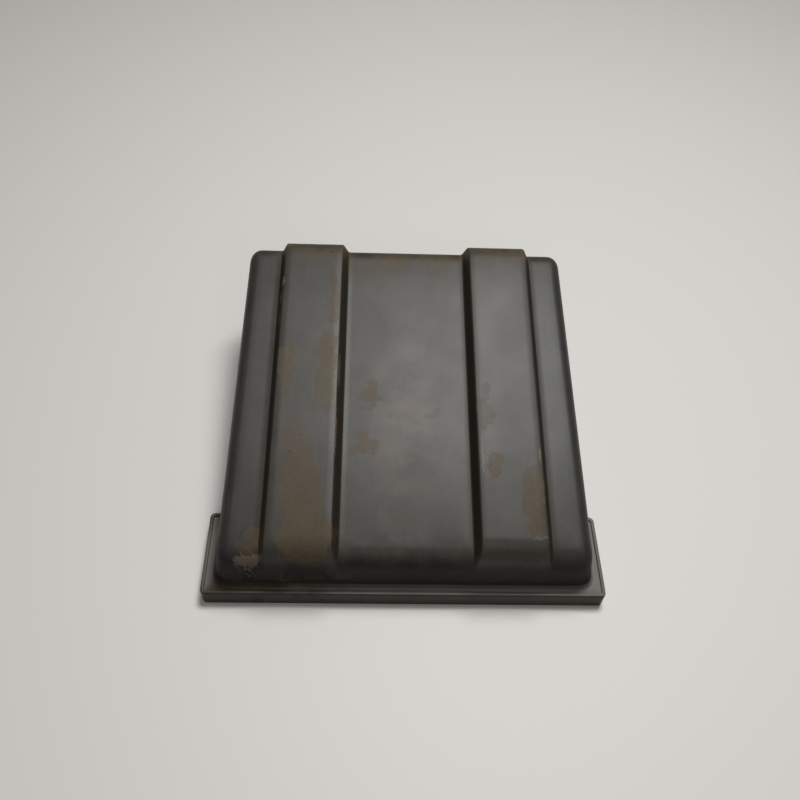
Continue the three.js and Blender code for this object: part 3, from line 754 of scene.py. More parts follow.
def tube(bm, points, radius, closed=False, sides=12, normal=Vector((0, 0, 1))):
    """A round bar along points that lie in one plane with the given normal; points are in metres."""
    count = len(points)
    rings = []
    for i, point in enumerate(points):
        before = points[i - 1] if closed or i > 0 else point
        after = points[(i + 1) % count] if closed or i < count - 1 else point
        tangent = (after - before).normalized()
        sideways = normal.cross(tangent).normalized()
        ring = []
        for step in range(sides):
            angle = 2 * math.pi * step / sides
            ring.append(point + (sideways * math.cos(angle) + normal * math.sin(angle)) * radius * MM)
        rings.append(ring)
    if closed:
        rings.append(rings[0])
    made = patch(bm, rings, closed=True)
    if not closed:
        bm.faces.new(list(reversed(made[0])))
        bm.faces.new(made[-1])


def cut(piece, tool):
    """Cuts a solid out of a piece and removes the cutting solid."""
    modifier = piece.modifiers.new("cut", "BOOLEAN")
    modifier.operation = "DIFFERENCE"
    modifier.solver = "EXACT"
    modifier.object = tool
    bpy.context.view_layer.update()
    apply_modifiers(piece)
    bpy.data.objects.remove(tool)


# ---------------------------------------------------------------- the hood's surface
FRONT_TOP = (FRONT_Y + FACE_Z * math.tan(FRONT_LEAN), FACE_Z)
REAR_TOP = (FRONT_TOP[0] + FACE_LENGTH * math.cos(SLOPE), FACE_Z + FACE_LENGTH * math.sin(SLOPE))
FRONT_NORMAL = math.pi - FRONT_LEAN
FACE_NORMAL = math.pi / 2 + SLOPE
REAR_NORMAL = REAR_LEAN
LOW_FRONT = FLANGE_TOP - 1
FRONT_STEPS = 14
FACE_STEPS = 62
REAR_STEPS = 12
WALL_LEVELS = 14
RIB_BLEND = 0.22
FILLET = 2.4


def rear_y(z):
    return REAR_TOP[0] + (REAR_TOP[1] - z) * math.tan(REAR_LEAN)


def face_z(y):
    return FACE_Z + (y - FRONT_TOP[0]) * math.tan(SLOPE)


def lower_half(y):
    share = (y - FRONT_Y) / (rear_y(SKIRT_Z) - FRONT_Y)
    return FLANGE_HALF + (REAR_HALF - FLANGE_HALF) * share


def lower_z(y):
    return LOW_FRONT if y < FLANGE_DEPTH else SKIRT_Z


def raised(point, wall_normal, rise):
    """Where the raised face meets a wall."""
    along = wall_normal + math.pi / 2 if wall_normal < math.pi * 0.75 else wall_normal - math.pi / 2
    reach = rise / math.cos(along - FACE_NORMAL)
    return point[0] + reach * math.cos(along), point[1] + reach * math.sin(along)


def rounded_corner(point, start, end, radius, steps):
    """Points of a rounded corner between two outward normals, as (y, z, normal angle)."""
    middle = (start + end) / 2
    reach = radius / math.cos((end - start) / 2)
    cy = point[0] - reach * math.cos(middle)
    cz = point[1] - reach * math.sin(middle)
    angles = [start + (end - start) * i / steps for i in range(steps + 1)]
    return [(cy + radius * math.cos(a), cz + radius * math.sin(a), a) for a in angles]


def side_profile(rise):
    """The front edge, the face and the rear edge, as (y, z, normal angle), from the front wall's top."""
    front_corner = raised(FRONT_TOP, FRONT_NORMAL, rise)
    front = rounded_corner(front_corner, FRONT_NORMAL, FACE_NORMAL, FRONT_RADIUS, FRONT_STEPS)
    rear_radius = REAR_RADIUS + (RIB_REAR_RADIUS - REAR_RADIUS) * rise / RIB_RISE
    rear_corner = raised(REAR_TOP, REAR_NORMAL, rise)
    rear = rounded_corner(rear_corner, FACE_NORMAL, REAR_NORMAL, rear_radius, REAR_STEPS)
    y0, z0, _ = front[-1]
    y1, z1, _ = rear[0]
    shares = [i / FACE_STEPS for i in range(1, FACE_STEPS)]
    face = [(y0 + (y1 - y0) * s, z0 + (z1 - z0) * s, FACE_NORMAL) for s in shares]
    return front + face + rear


def soft_step(u, blend):
    """A ramp from 0 to 1 with rounded ends."""
    if u <= -blend:
        return 0.0
    if u < blend:
        return (u + blend) ** 2 / (4 * blend)
    if u < 1 - blend:
        return u
    if u < 1 + blend:
        return 1 - (1 + blend - u) ** 2 / (4 * blend)
    return 1.0


def rib_rise(x):
    across = abs(x)
    outer = soft_step((RIB_OUTER - across) / RIB_SLANT, RIB_BLEND)
    inner = soft_step((across - RIB_INNER) / RIB_SLANT, RIB_BLEND)
    return RIB_RISE * min(outer, inner)


def column_places():
    """Where the surface's lengthwise lines run: (across, edge angle), from the middle to the right edge."""
    blend = RIB_SLANT * RIB_BLEND
    places = [RIB_INNER * i / 10 for i in range(10)]
    for start, end in ((RIB_INNER, RIB_INNER + RIB_SLANT), (RIB_OUTER - RIB_SLANT, RIB_OUTER)):
        low = start - blend
        high = end + blend
        places += [low + (high - low) * i / 12 for i in range(13)]
        if start == RIB_INNER:
            gap_end = RIB_OUTER - RIB_SLANT - blend
            places += [high + (gap_end - high) * i / 9 for i in range(1, 9)]
    inner_edge = HALF_WIDTH - SIDE_RADIUS
    start = RIB_OUTER + blend
    places += [start + (inner_edge - start) * i / 4 for i in range(1, 4)]
    flat = [(x, 0.0) for x in places]
    steps = 10
    rounded = [math.pi / 2 * i / steps for i in range(steps + 1)]
    return flat + [(inner_edge + SIDE_RADIUS * math.sin(a), a) for a in rounded]


def across_at(x, y, z, angle):
    """A point's true distance across: the hood narrows to the rear and its sides spread to their foot."""
    along = min(max((y - FRONT_TOP[0]) / (REAR_TOP[0] - FRONT_TOP[0]), 0), 1)
    edge = min(max((abs(x) - RIB_OUTER) / (HALF_WIDTH - SIDE_RADIUS - RIB_OUTER), 0), 1)
    narrow = RIB_TAPER + (TAPER - RIB_TAPER) * edge
    top = abs(x) * (1 - narrow * along)
    top_z = face_z(y) - SIDE_RADIUS
    drop = min(max((top_z - z) / (top_z - lower_z(y)), 0), 1)
    spread = angle / (math.pi / 2) * drop
    value = top + (lower_half(y) - top) * spread
    return math.copysign(value, x) if x else 0.0


def wall_heights():
    """Shares down a wall, 0 at its top and 1 at its foot, closer together at the foot for the fillet."""
    even = [i / (WALL_LEVELS - 5) for i in range(WALL_LEVELS - 5)]
    return [share * 0.82 for share in even] + [0.86, 0.895, 0.925, 0.95, 0.975, 1.0]


def fillet_out(z):
    """How far the wall's foot reaches out over the flange, at a height."""
    above = z - FLANGE_TOP
    if above >= FILLET:
        return 0.0
    rest = FILLET - max(above, 0)
    return FILLET - math.sqrt(FILLET**2 - rest**2)


def wall_line(top, foot, outward, filleted):
    """Points from below a wall's top to its foot."""
    line = []
    for share in wall_heights()[1:]:
        point = [a + (b - a) * share for a, b in zip(top, foot)]
        reach = fillet_out(point[2]) if filleted else 0.0
        line.append((point[0] + outward[0] * reach, point[1] + outward[1] * reach, point[2]))
    return line


def surface_column(x, angle):
    """One lengthwise line over the hood: up the front wall, over the face and down the rear wall."""
    out = -SIDE_RADIUS * (1 - math.cos(angle))
    sign = math.copysign(1, x)
    over = []
    for y, z, normal in side_profile(rib_rise(x)):
        moved_y = y + out * math.cos(normal)
        moved_z = z + out * math.sin(normal)
        over.append((across_at(x, y, z, angle), moved_y, moved_z))
    foot_y = FRONT_Y + LOW_FRONT * math.tan(FRONT_LEAN)
    front_foot = (across_at(x, foot_y, LOW_FRONT, angle), foot_y - out, LOW_FRONT)
    foot_y = rear_y(SKIRT_Z)
    rear_foot = (across_at(x, foot_y, SKIRT_Z, angle), foot_y + out, SKIRT_Z)
    front = wall_line(over[0], front_foot, (sign * math.sin(angle), -math.cos(angle)), True)
    rear = wall_line(over[-1], rear_foot, (0, 0), False)
    return list(reversed(front)) + over + rear, over


def hood_skin():
    """The hood's outer surface, open underneath."""
    bm = bmesh.new()
    right = column_places()
    left = [(-x, angle) for x, angle in right if x > 0]
    across = list(reversed(left)) + right
    columns = [surface_column(x, angle) for x, angle in across]
    patch(bm, [[at(*point) for point in line] for line, _ in columns])
    for (line, over), sign in ((columns[0], -1), (columns[-1], 1)):
        first = over[0]
        last = over[-1]
        front_foot = line[0]
        front_y = FRONT_Y + LOW_FRONT * math.tan(FRONT_LEAN) + SIDE_RADIUS
        rear_foot_y = rear_y(SKIRT_Z) - SIDE_RADIUS
        rows = []
        for k, top in enumerate(over):
            share = (top[1] - first[1]) / (last[1] - first[1])
            foot_y = front_y + (rear_foot_y - front_y) * share
            foot = (sign * lower_half(foot_y), foot_y, lower_z(foot_y))
            if k == 0:
                foot = (across_at(sign * HALF_WIDTH, FRONT_Y, LOW_FRONT, math.pi / 2), front_y, front_foot[2])
            if k == len(over) - 1:
                foot = line[-1]
            rows.append([top] + wall_line(top, foot, (sign, 0), foot_y < FLANGE_DEPTH))
        patch(bm, [[at(*point) for point in row] for row in rows])
    clean(bm, 0.00002)
    return make_object("hood", bm, material_for("upper_shell"))


def rounded_rectangle(half, y0, y1, radius, z, steps=6):
    """Points round a rectangle with rounded corners, anticlockwise from the front right."""
    points = []
    corners = [
        (half - radius, y0 + radius, -90),
        (half - radius, y1 - radius, 0),
        (-half + radius, y1 - radius, 90),
        (-half + radius, y0 + radius, 180),
    ]
    for cx, cy, start in corners:
        for i in range(steps + 1):
            angle = math.radians(start + 90 * i / steps)
            points.append(at(cx + radius * math.cos(angle), cy + radius * math.sin(angle), z))
    return points


MOUTH_HALF = 133.0
MOUTH_Y0 = 13.0
MOUTH_Y1 = 55.0
REBATE = 3.4
REBATE_DEPTH = 6.0
SKIRT_RIM = 3.5
CHANNEL = 5.5
CHANNEL_DEPTH = 5.0


def flange_ring():
    """The mouth flange: raised lip, recessed top, gasket channel and the rebate that the filter seats in."""
    half = FLANGE_WIDTH / 2

    def inset(distance, z, radius):
        return rounded_rectangle(half - distance, distance, FLANGE_DEPTH - distance, radius, z)

    def mouth(grow, z, radius):
        return rounded_rectangle(MOUTH_HALF + grow, MOUTH_Y0 - grow, MOUTH_Y1 + grow, radius, z)

    soft = 0.5
    top = FLANGE_HEIGHT
    rounding = 1.5
    lip_edge = []
    for turn in (0.0, 22.5, 45.0, 67.5, 90.0):
        reach = rounding * (1 - math.cos(math.radians(turn)))
        drop = rounding * (1 - math.sin(math.radians(turn)))
        lip_edge.append(inset(reach, top - drop, FLANGE_CORNER - reach))
    loops = [
        inset(soft, 0, FLANGE_CORNER - soft),
        inset(soft * 0.3, soft * 0.3, FLANGE_CORNER - soft * 0.3),
        inset(0, soft, FLANGE_CORNER),
        *lip_edge,
        inset(LIP - 0.7, top, FLANGE_CORNER - 1.6),
        inset(LIP - 0.2, top - 0.2, FLANGE_CORNER - 1.8),
        inset(LIP, top - 0.7, FLANGE_CORNER - 1.9),
        inset(LIP, FLANGE_TOP + 0.5, FLANGE_CORNER - 1.9),
        inset(LIP + 0.15, FLANGE_TOP + 0.15, FLANGE_CORNER - 2.0),
        inset(LIP + 0.5, FLANGE_TOP, FLANGE_CORNER - 2.0),
        inset(9.3, FLANGE_TOP, 9),
        inset(9.6, REBATE_DEPTH + WALL, 9),
        mouth(0.3, REBATE_DEPTH + WALL, 4),
        mouth(0, REBATE_DEPTH + WALL - 0.3, 4),
        mouth(0, REBATE_DEPTH + 0.3, 4),
        mouth(0.3, REBATE_DEPTH, 4),
        mouth(REBATE, REBATE_DEPTH, 4),
        mouth(REBATE, soft, 4),
        mouth(REBATE + 0.3, 0, 4),
        inset(SKIRT_RIM + CHANNEL + 0.3, 0, 3),
        inset(SKIRT_RIM + CHANNEL, 0.3, 3),
        inset(SKIRT_RIM + CHANNEL, CHANNEL_DEPTH, 3),
        inset(SKIRT_RIM, CHANNEL_DEPTH, 3),
        inset(SKIRT_RIM, 0.3, 3),
        inset(SKIRT_RIM - 0.3, 0, 3),
    ]
    bm = bmesh.new()
    patch(bm, loops + [loops[0]], closed=True)
    clean(bm, 0.000004)
    wall_half = lower_half(FLANGE_DEPTH) - 1.0
    block(bm, -wall_half, wall_half, FLANGE_DEPTH - WALL, FLANGE_DEPTH - 0.05, FLANGE_TOP - 1, SKIRT_Z)
    bmesh.ops.recalc_face_normals(bm, faces=bm.faces)
    return make_object("flange_ring", bm, material_for("upper_shell"))


def join(pieces):
    """Joins pieces into the first one."""
    bm = bmesh.new()
    for piece in pieces:
        bm.from_mesh(piece.data)
    bm.to_mesh(pieces[0].data)
    bm.free()
    for piece in pieces[1:]:
        bpy.data.objects.remove(piece)
    return pieces[0]


def solid_cylinder_y(centre_x, centre_z, y0, y1, radius):
    profile = [(0, y0), (radius, y0), (radius, y1), (0, y1)]
    return turned("cutter", profile, (centre_x, 0, centre_z), "Y", material_for("upper_shell"), 48)


def centre_of(node):
    low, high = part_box(node)
    middle = (low + high) / 2
    return middle.x / MM, back(middle.y), middle.z / MM


def make_hood():
    hood = hood_skin()
    thickness = hood.modifiers.new("wall", "SOLIDIFY")
    thickness.thickness = WALL * MM
    thickness.offset = -1
    thickness.use_even_offset = True
    apply_modifiers(hood)
    rear = rear_y(50)
    spigot_x, _, spigot_z = centre_of("outlet_seal")
    nipple_x, _, nipple_z = centre_of("breather_nipple")
    cut(hood, solid_cylinder_y(spigot_x, spigot_z, rear - 14, rear + 10, 20.2))
    cut(hood, solid_cylinder_y(nipple_x, nipple_z, rear - 14, rear + 10, 5.7))
    join([hood, flange_ring()])
    stand_for(hood, "upper_shell")
    smooth_by_angle(hood, 32)


make_hood()

# ---------------------------------------------------------------- flat pieces
def polygon(corners, radius, steps=6):
    """The outline through (across, back) corners, anticlockwise, with each corner rounded."""
    points = []
    count = len(corners)
    for i, corner in enumerate(corners):
        here = Vector(corner)
        to_before = (Vector(corners[i - 1]) - here).normalized()
        to_after = (Vector(corners[(i + 1) % count]) - here).normalized()
        for step in range(steps + 1):
            t = step / steps
            start = here + to_before * radius
            end = here + to_after * radius
            points.append(start * (1 - t) ** 2 + here * 2 * t * (1 - t) + end * t**2)
    return points


def rectangle(x0, x1, y0, y1, radius):
    return polygon([(x0, y0), (x1, y0), (x1, y1), (x0, y1)], radius)


def ring_of_points(x, y, radius, sides=32):
    angles = [2 * math.pi * i / sides for i in range(sides)]
    return [Vector((x + radius * math.cos(a), y + radius * math.sin(a))) for a in angles]


def plate(name, outlines, z0, z1, edge, material):
    """A flat piece with eased edges; the first outline is its edge and the others are holes."""
    curve = bpy.data.curves.new(name, "CURVE")
    curve.dimensions = "2D"
    curve.fill_mode = "BOTH"
    curve.extrude = ((z1 - z0) / 2 - edge) * MM
    curve.bevel_depth = edge * MM
    curve.bevel_resolution = 1
    curve.offset = -edge * MM
    for outline in outlines:
        spline = curve.splines.new("POLY")
        spline.points.add(len(outline) - 1)
        for point, place in zip(spline.points, outline):
            flat = at(place.x, place.y, 0)
            point.co = (flat.x, flat.y, 0, 1)
        spline.use_cyclic_u = True
    drawn = bpy.data.objects.new(name, curve)
    bpy.context.scene.collection.objects.link(drawn)
    mesh = bpy.data.meshes.new_from_object(drawn.evaluated_get(bpy.context.evaluated_depsgraph_get()))
    bpy.data.objects.remove(drawn)
    bm = bmesh.new()
    bm.from_mesh(mesh)
    bpy.data.meshes.remove(mesh)
    bmesh.ops.translate(bm, verts=bm.verts, vec=(0, 0, (z0 + z1) / 2 * MM))
    clean(bm, 0.000002)
    return make_object(name, bm, material)


def height_of(node):
    low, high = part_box(node)
    return low.z / MM, high.z / MM


PAN_EDGE = 1.5
PAN_CORNER = 14.0
PAN_THICKNESS = 3.0
BOSS_RADIUS = 6.0
SCREWS = [f"floor_screw_{i}" for i in range(1, 7)]
SCREW_HOLE = 2.8


def pan_outline(inset):
    low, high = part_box("floor_pan")
    front_y = back(low.y)
    rear_edge = back(high.y)
    front = lower_half(front_y) - PAN_EDGE - inset
    rear = lower_half(rear_edge) - PAN_EDGE - inset
    y0 = front_y + inset
    y1 = rear_edge - inset
    return polygon([(-rear, y1), (-front, y0), (front, y0), (rear, y1)], PAN_CORNER)


def screw_holes():
    return [ring_of_points(*centre_of(node)[:2], SCREW_HOLE, 20) for node in SCREWS]


def make_floor_pan():
    material = material_for("floor_pan")
    low, high = height_of("floor_pan")
    top = low + PAN_THICKNESS
    drain = ring_of_points(*centre_of("drain_valve")[:2], 6.3)
    necks = [ring_of_points(*centre_of(node)[:2], 4.3) for node in ("rear_foot_left", "rear_foot_right")]
    sheet = plate("pan_plate", [pan_outline(0), *screw_holes(), drain, *necks], low, top, 0.7, material)
    rim_set = WALL + BOSS_RADIUS * 2 + PAN_EDGE
    rim = plate("pan_rim", [pan_outline(rim_set), pan_outline(rim_set + WALL)], top - 1, high, 0.8, material)
    stand_for(join([sheet, rim]), "floor_pan")


def make_gaskets():
    low, high = height_of("floor_gasket")
    ring = plate(
        "pan_gasket", [pan_outline(0), pan_outline(7)], low, high, 0.5, material_for("floor_gasket"),
    )
    ears = []
    for node in SCREWS:
        x, y, _ = centre_of(node)
        outlines = [ring_of_points(x, y, BOSS_RADIUS), ring_of_points(x, y, SCREW_HOLE, 20)]
        ears.append(plate("gasket_ear", outlines, low + 0.1, high - 0.1, 0.4, material_for("floor_gasket")))
    stand_for(join([ring, *ears]), "floor_gasket")
    low, high = height_of("flange_gasket")
    half = FLANGE_WIDTH / 2
    outlines = []
    for inset in (SKIRT_RIM + 0.3, SKIRT_RIM + CHANNEL - 0.3):
        outlines.append(rectangle(-half + inset, half - inset, inset, FLANGE_DEPTH - inset, 3))
    ring = plate("flange_gasket_ring", outlines, low, high, 1.0, material_for("flange_gasket"))
    stand_for(ring, "flange_gasket")


# ---------------------------------------------------------------- turned pieces
def make_floor_screw(node):
    x, y, _ = centre_of(node)
    low, high = height_of(node)
    head = 3.0
    shank = 2.45
    profile = [(0, 0.9), (1.6, 0.9), (1.9, 0.35), (3.0, 0.15), (4.1, 0.7), (4.6, 1.6)]
    profile += [(4.6, head), (shank, head)]
    along = head + 2
    while along < high - low - 2.6:
        profile += [(shank - 0.45, along), (shank, along + 0.45)]
        along += 1.1
    profile += [(shank - 0.45, along), (0.6, high - low - 0.2), (0, high - low)]
    screw = turned(node + "_fine", profile, (x, y, low), "Z", material_for(node), 40)
    stand_for(screw, node)


def make_rear_foot(node):
    x, y, _ = centre_of(node)
    low, high = height_of(node)
    pan_low = height_of("floor_pan")[0]
    top = pan_low - 0.3
    neck_top = pan_low + PAN_THICKNESS + 0.3
    profile = [(0, 0.7), (5.5, 0.7), (6.2, 0), (8.6, 0), (10, 0.5), (10.8, 1.6), (11, 3), (10.6, 8)]
    profile += [(10.3, top - 5), (9.2, top - 4.4), (9.2, top - 3.2), (10.2, top - 2.6), (10.1, top - 0.6)]
    profile += [(9.6, top), (4, top), (4, neck_top), (5.6, neck_top), (5.9, neck_top + 0.5)]
    profile += [(3.4, high - 0.6), (2.6, high), (0, high)]
    stand_for(turned(node + "_fine", profile, (x, y, low), "Z", material_for(node)), node)


def make_spigot():
    x, _, z = centre_of("outlet_seal")
    low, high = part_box("outlet_spigot")
    start = back(low.y)
    length = back(high.y) - start
    material = material_for("outlet_spigot")
    profile = [(17.4, 0.4), (17.8, 0), (24.6, 0), (25, 0.4), (25, 2.6), (24.6, 3), (21, 3), (20, 4)]
    bead = length - 4
    profile += [(20, bead - 0.4), (20.5, bead), (21.3, bead + 0.7), (21.6, bead + 1.5), (21.3, bead + 2.3)]
    profile += [(20.5, bead + 3), (19.7, length - 0.4), (19.3, length), (17.8, length), (17.4, length - 0.4)]
    stand_for(turned("spigot", profile, (x, start, z), "Y", material, 96), "outlet_spigot")


def make_outlet_seal():
    x, _, z = centre_of("outlet_seal")
    start = back(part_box("outlet_seal")[0].y)
    profile = [(20.4, 0.5), (20.9, 0), (23.3, 0), (23.9, 0.6), (24, 1.4), (23.5, 2.0), (24, 2.6), (23.9, 3.4)]
    profile += [(23.3, 4), (20.9, 4), (20.4, 3.5)]
    ring = turned("seal_ring", profile, (x, start, z), "Y", material_for("outlet_seal"), 96)
    stand_for(ring, "outlet_seal")


def make_nipple():
    node = "breather_nipple"
    x, _, z = centre_of(node)
    low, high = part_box(node)
    start = back(low.y)
    length = back(high.y) - start
    barb = length - 4
    profile = [(3.5, 0.3), (3.8, 0), (9.1, 0), (9.5, 0.4), (9.5, 1.6), (9.1, 2), (6.2, 2), (5.5, 2.7)]
    profile += [(5.5, barb), (6.3, barb + 0.1), (6.3, barb + 0.7), (5.5, barb + 2.4), (4.9, length - 0.3)]
    profile += [(4.5, length), (3.8, length), (3.5, length - 0.3)]
    stand_for(turned("nipple", profile, (x, start, z), "Y", material_for(node)), node)


def make_drain_valve():
    node = "drain_valve"
    x, y, _ = centre_of(node)
    low, high = height_of(node)
    top = high - low
    collar = top - 2
    profile = [(3.5, 0.3), (3.9, 0), (4.8, 0), (5.3, 0.5), (5.5, 2.0), (5.9, 3.2), (6, 5), (5.6, 5.4)]
    profile += [(5.6, 6.2), (6, 6.6), (6, collar), (9.6, collar), (10, collar + 0.4), (10, top - 0.4)]
    profile += [(9.6, top), (3.8, top), (3.5, top - 0.3)]
    stand_for(turned("valve", profile, (x, y, low), "Z", material_for(node)), node)


# ---------------------------------------------------------------- clamp and wire clips
def make_clamp_band():
    node = "clamp_band"
    x, _, z = centre_of("outlet_seal")
    low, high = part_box(node)
    y0 = back(low.y)
    y1 = back(high.y)
    ear_low = low.z / MM
    inner = 21.0
    outer = 22.0
    side = 2.0
    gap_angle = math.asin(side / inner)
    steps = 88
    start = -math.pi / 2 + gap_angle
    end = 1.5 * math.pi - gap_angle
    angles = [start + (end - start) * i / steps for i in range(steps + 1)]
    around = [(x + inner * math.cos(a), z + inner * math.sin(a)) for a in angles]
    outside = [(x + outer * math.cos(a), z + outer * math.sin(a)) for a in reversed(angles[1:-1])]
    left_ear = [(x - side, ear_low), (x - side - 2, ear_low), (x - side - 2, z - outer + 0.3)]
    right_ear = [(x + side + 2, z - outer + 0.3), (x + side + 2, ear_low), (x + side, ear_low)]
    outline = around + left_ear + outside + right_ear
    bm = bmesh.new()
    ends = [[bm.verts.new(at(px, y, pz)) for px, pz in outline] for y in (y0, y1)]
    bm.faces.new(ends[0])
    bm.faces.new(list(reversed(ends[1])))
    for i in range(len(outline)):
        j = (i + 1) % len(outline)
        bm.faces.new((ends[0][i], ends[1][i], ends[1][j], ends[0][j]))
    bmesh.ops.recalc_face_normals(bm, faces=bm.faces)
    band = make_object("band", bm, material_for(node))
    screw_x, screw_y, screw_z = centre_of("clamp_screw")
    bore = [(0, -9), (2.5, -9), (2.5, 9), (0, 9)]
    hole = turned("cutter", bore, (x, screw_y, screw_z), "X", material_for(node), 28)
    cut(band, hole)
    bevel(band, 0.3, 2, 50)
    stand_for(band, node)


HEAD_RADIUS = 3.75


def make_clamp_screw():
    node = "clamp_screw"
    _, y, z = centre_of(node)
    x = centre_of("outlet_seal")[0]
    material = material_for(node)
    profile = [(0, -10), (1.6, -10), (2.2, -9.4)]
    along = -9.2
    while along < 7.5:
        profile += [(1.8, along), (2.2, along + 0.4)]
        along += 0.9
    profile += [(2.2, 9.4), (0, 9.4)]
    shank = turned("clamp_shank", profile, (x, y, z), "X", material, 28)
    bm = bmesh.new()
    turns = [math.radians(60 * i) for i in range(6)]
    hexagon = [(y + HEAD_RADIUS * math.cos(turn), z + HEAD_RADIUS * math.sin(turn)) for turn in turns]
    prism(bm, hexagon, x + 9, x + 13)
    bmesh.ops.recalc_face_normals(bm, faces=bm.faces)
    head = make_object("clamp_head", bm, material)
    bm = bmesh.new()
    block(bm, x + 12, x + 14, y - 5, y + 5, z - 0.5, z + 0.5)
    bmesh.ops.recalc_face_normals(bm, faces=bm.faces)
    cut(head, make_object("cutter", bm, material))
    bevel(head, 0.35, 2, 40)
    apply_modifiers(head)
    stand_for(join([shank, head]), node)


CLIP_BACK = 8.0
CLIP_HEIGHT = 9.5
CLIP_WIRE = 1.4
CLIP_REACH = 30.0
CLIP_DROOP = math.radians(12)


def make_clip(side):
    """The wire loop: an axle in the bracket's eye, two arms and a far bar, all one bent wire."""
    node = f"wire_clip_{side}"
    low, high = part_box(node)
    x0 = low.x / MM + CLIP_WIRE
    x1 = high.x / MM - CLIP_WIRE
    pivot_y = FLANGE_DEPTH + CLIP_BACK
    bend = 3.2
    corners = [(x0, 0), (x1, 0), (x1, CLIP_REACH), (x0, CLIP_REACH)]
    outline = polygon(corners, bend, 8)
    points = []
    for point in outline:
        y = pivot_y + point.y * math.cos(CLIP_DROOP)
        z = CLIP_HEIGHT - point.y * math.sin(CLIP_DROOP)
        points.append(at(point.x, y, z))
    bm = bmesh.new()
    tube(bm, points, CLIP_WIRE, True, 16, Vector((0, math.sin(CLIP_DROOP), math.cos(CLIP_DROOP))))
    clean(bm, 0.000002)
    stand_for(make_object(node + "_fine", bm, material_for(node)), node)


def make_bracket(side):
    """Folded sheet: a plate on the flange's rear edge and a web that is rolled into an eye."""
    node = f"clip_bracket_{side}"
    low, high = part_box(node)
    x0 = low.x / MM
    x1 = high.x / MM
    y0 = back(low.y)
    sheet = 1.6
    z0 = low.z / MM
    z1 = high.z / MM
    pivot_y = FLANGE_DEPTH + CLIP_BACK
    eye = CLIP_WIRE + 1.6
    bore = CLIP_WIRE + 0.35
    half = sheet / 2
    outline = [(y0, z0), (y0 + sheet, z0), (y0 + sheet, CLIP_HEIGHT - half)]
    first = -math.asin(half / eye)
    turns = 40
    for i in range(turns + 1):
        angle = math.pi - first + (2 * math.pi + 2 * first) * i / turns
        outline.append((pivot_y + eye * math.cos(angle), CLIP_HEIGHT + eye * math.sin(angle)))
    outline += [(y0 + sheet, CLIP_HEIGHT + half), (y0 + sheet, z1), (y0, z1)]
    bm = bmesh.new()
    prism(bm, outline, x0, x1)
    bmesh.ops.recalc_face_normals(bm, faces=bm.faces)
    folded = make_object(node + "_fine", bm, material_for(node))
    middle = (x0 + x1) / 2
    reach = (x1 - x0) / 2 + 1
    hole = turned(
        "cutter",
        [(0, -reach), (bore, -reach), (bore, reach), (0, reach)],
        (middle, pivot_y, CLIP_HEIGHT),
        "X",
        material_for(node),
        32,
    )
    cut(folded, hole)
    bevel(folded, 0.25, 2, 50)
    stand_for(folded, node)


# ---------------------------------------------------------------- the filter element
FILTER_WALL = 3.0
FILTER_RIM = 2.6
PLEATS = 66
PAPER = 0.6


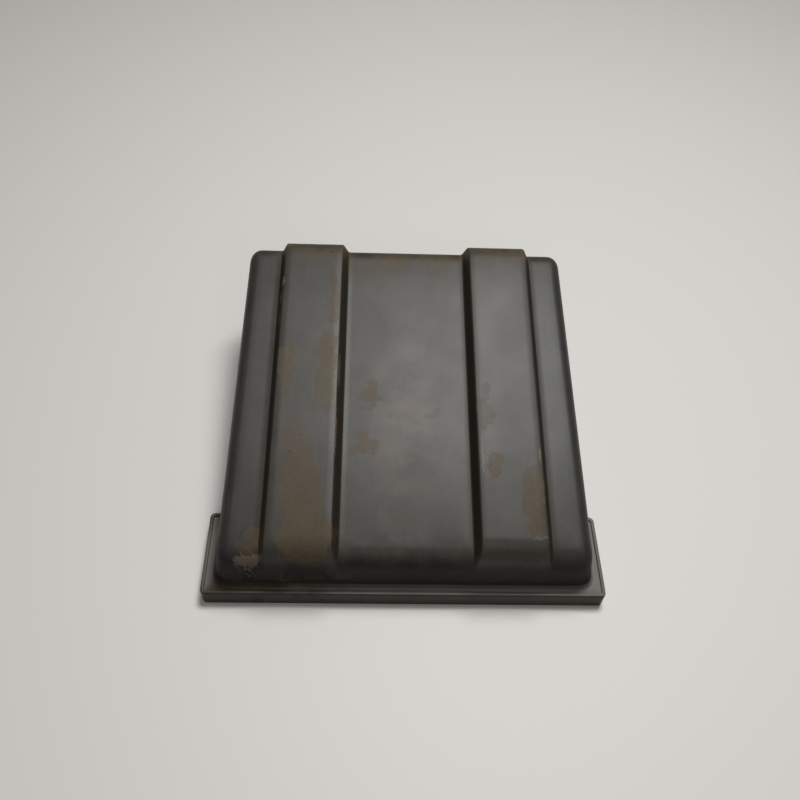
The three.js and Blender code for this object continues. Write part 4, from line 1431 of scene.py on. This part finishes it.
def make_filter():
    frame_low, frame_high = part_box("filter_frame")
    z0 = frame_low.z / MM
    z1 = frame_high.z / MM
    grow = REBATE - 0.3
    half = frame_high.x / MM - grow
    y0 = back(frame_low.y) + grow
    y1 = back(frame_high.y) - grow

    def outline(inset, radius):
        return rectangle(-half + inset, half - inset, y0 + inset, y1 - inset, radius)

    material = material_for("filter_frame")
    wall = FILTER_WALL
    rim = [outline(-grow, 4), outline(wall, 1)]
    foot = plate("frame_foot", rim, z0 + 1.6, z0 + FILTER_RIM, 0.4, material)
    lip = plate("frame_lip", [outline(-grow, 4), outline(1.5, 1)], z0, z0 + 1.8, 0.5, material)
    walls = plate("frame_walls", [outline(0, 4), outline(wall, 1)], z0 + FILTER_RIM - 0.4, z1, 0.9, material)
    stand_for(join([foot, lip, walls]), "filter_frame")

    low, high = height_of("filter_seal")
    seal = plate("seal", [outline(-grow, 4), outline(-0.4, 4)], low, high, 0.7, material_for("filter_seal"))
    stand_for(seal, "filter_seal")

    paper_low, paper_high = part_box("filter_media")
    x0 = paper_low.x / MM
    pitch = (paper_high.x - paper_low.x) / MM / PLEATS
    low = paper_low.z / MM + PAPER
    high = paper_high.z / MM - PAPER
    fold = 0.34
    sheet = []
    for i in range(PLEATS):
        start = x0 + i * pitch
        crest = start + pitch / 2
        sheet += [(start, low + 0.3), (start + fold, low), (crest - fold, high)]
        sheet += [(crest, high + 0.3), (crest + fold, high), (start + pitch - fold, low)]
    sheet.append((x0 + PLEATS * pitch, low + 0.3))
    deep = [back(paper_low.y), back(paper_high.y)]
    rows = [[at(x, deep[0] + (deep[1] - deep[0]) * step / 4, z) for x, z in sheet] for step in range(5)]
    bm = bmesh.new()
    patch(bm, rows)
    bmesh.ops.recalc_face_normals(bm, faces=bm.faces)
    media = make_object("pleated_paper", bm, material_for("filter_media"))
    thick = media.modifiers.new("paper", "SOLIDIFY")
    thick.thickness = 0.25 * MM
    thick.offset = 0
    stand_for(media, "filter_media")

    guard_low, guard_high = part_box("filter_mesh")
    level = (guard_low.z + guard_high.z) / 2
    wire = 0.34
    bm = bmesh.new()
    across = 54
    along = 8
    x0, x1 = guard_low.x + wire * MM, guard_high.x - wire * MM
    g0, g1 = guard_low.y + wire * MM, guard_high.y - wire * MM
    weave = wire * 0.5 * MM

    def crossing(i, j, over):
        """Where two wires of the guard cross; over is 1 or -1 for the wire on top at the first crossing."""
        lift = -over if (i + j) % 2 == 0 else over
        return Vector((x0 + (x1 - x0) * i / across, g0 + (g1 - g0) * j / along, level + lift * weave))

    for i in range(across + 1):
        tube(bm, [crossing(i, j, 1) for j in range(along + 1)], wire, False, 6, Vector((1, 0, 0)))
    for j in range(along + 1):
        tube(bm, [crossing(i, j, -1) for i in range(across + 1)], wire, False, 6, Vector((0, 1, 0)))
    bmesh.ops.recalc_face_normals(bm, faces=bm.faces)
    stand_for(make_object("woven_guard", bm, material_for("filter_mesh")), "filter_mesh")


make_floor_pan()
make_gaskets()
for screw in SCREWS:
    make_floor_screw(screw)
for foot in ("rear_foot_left", "rear_foot_right"):
    make_rear_foot(foot)
make_spigot()
make_outlet_seal()
make_nipple()
make_drain_valve()
make_clamp_band()
make_clamp_screw()
for hand in ("left", "right"):
    make_clip(hand)
    make_bracket(hand)
make_filter()
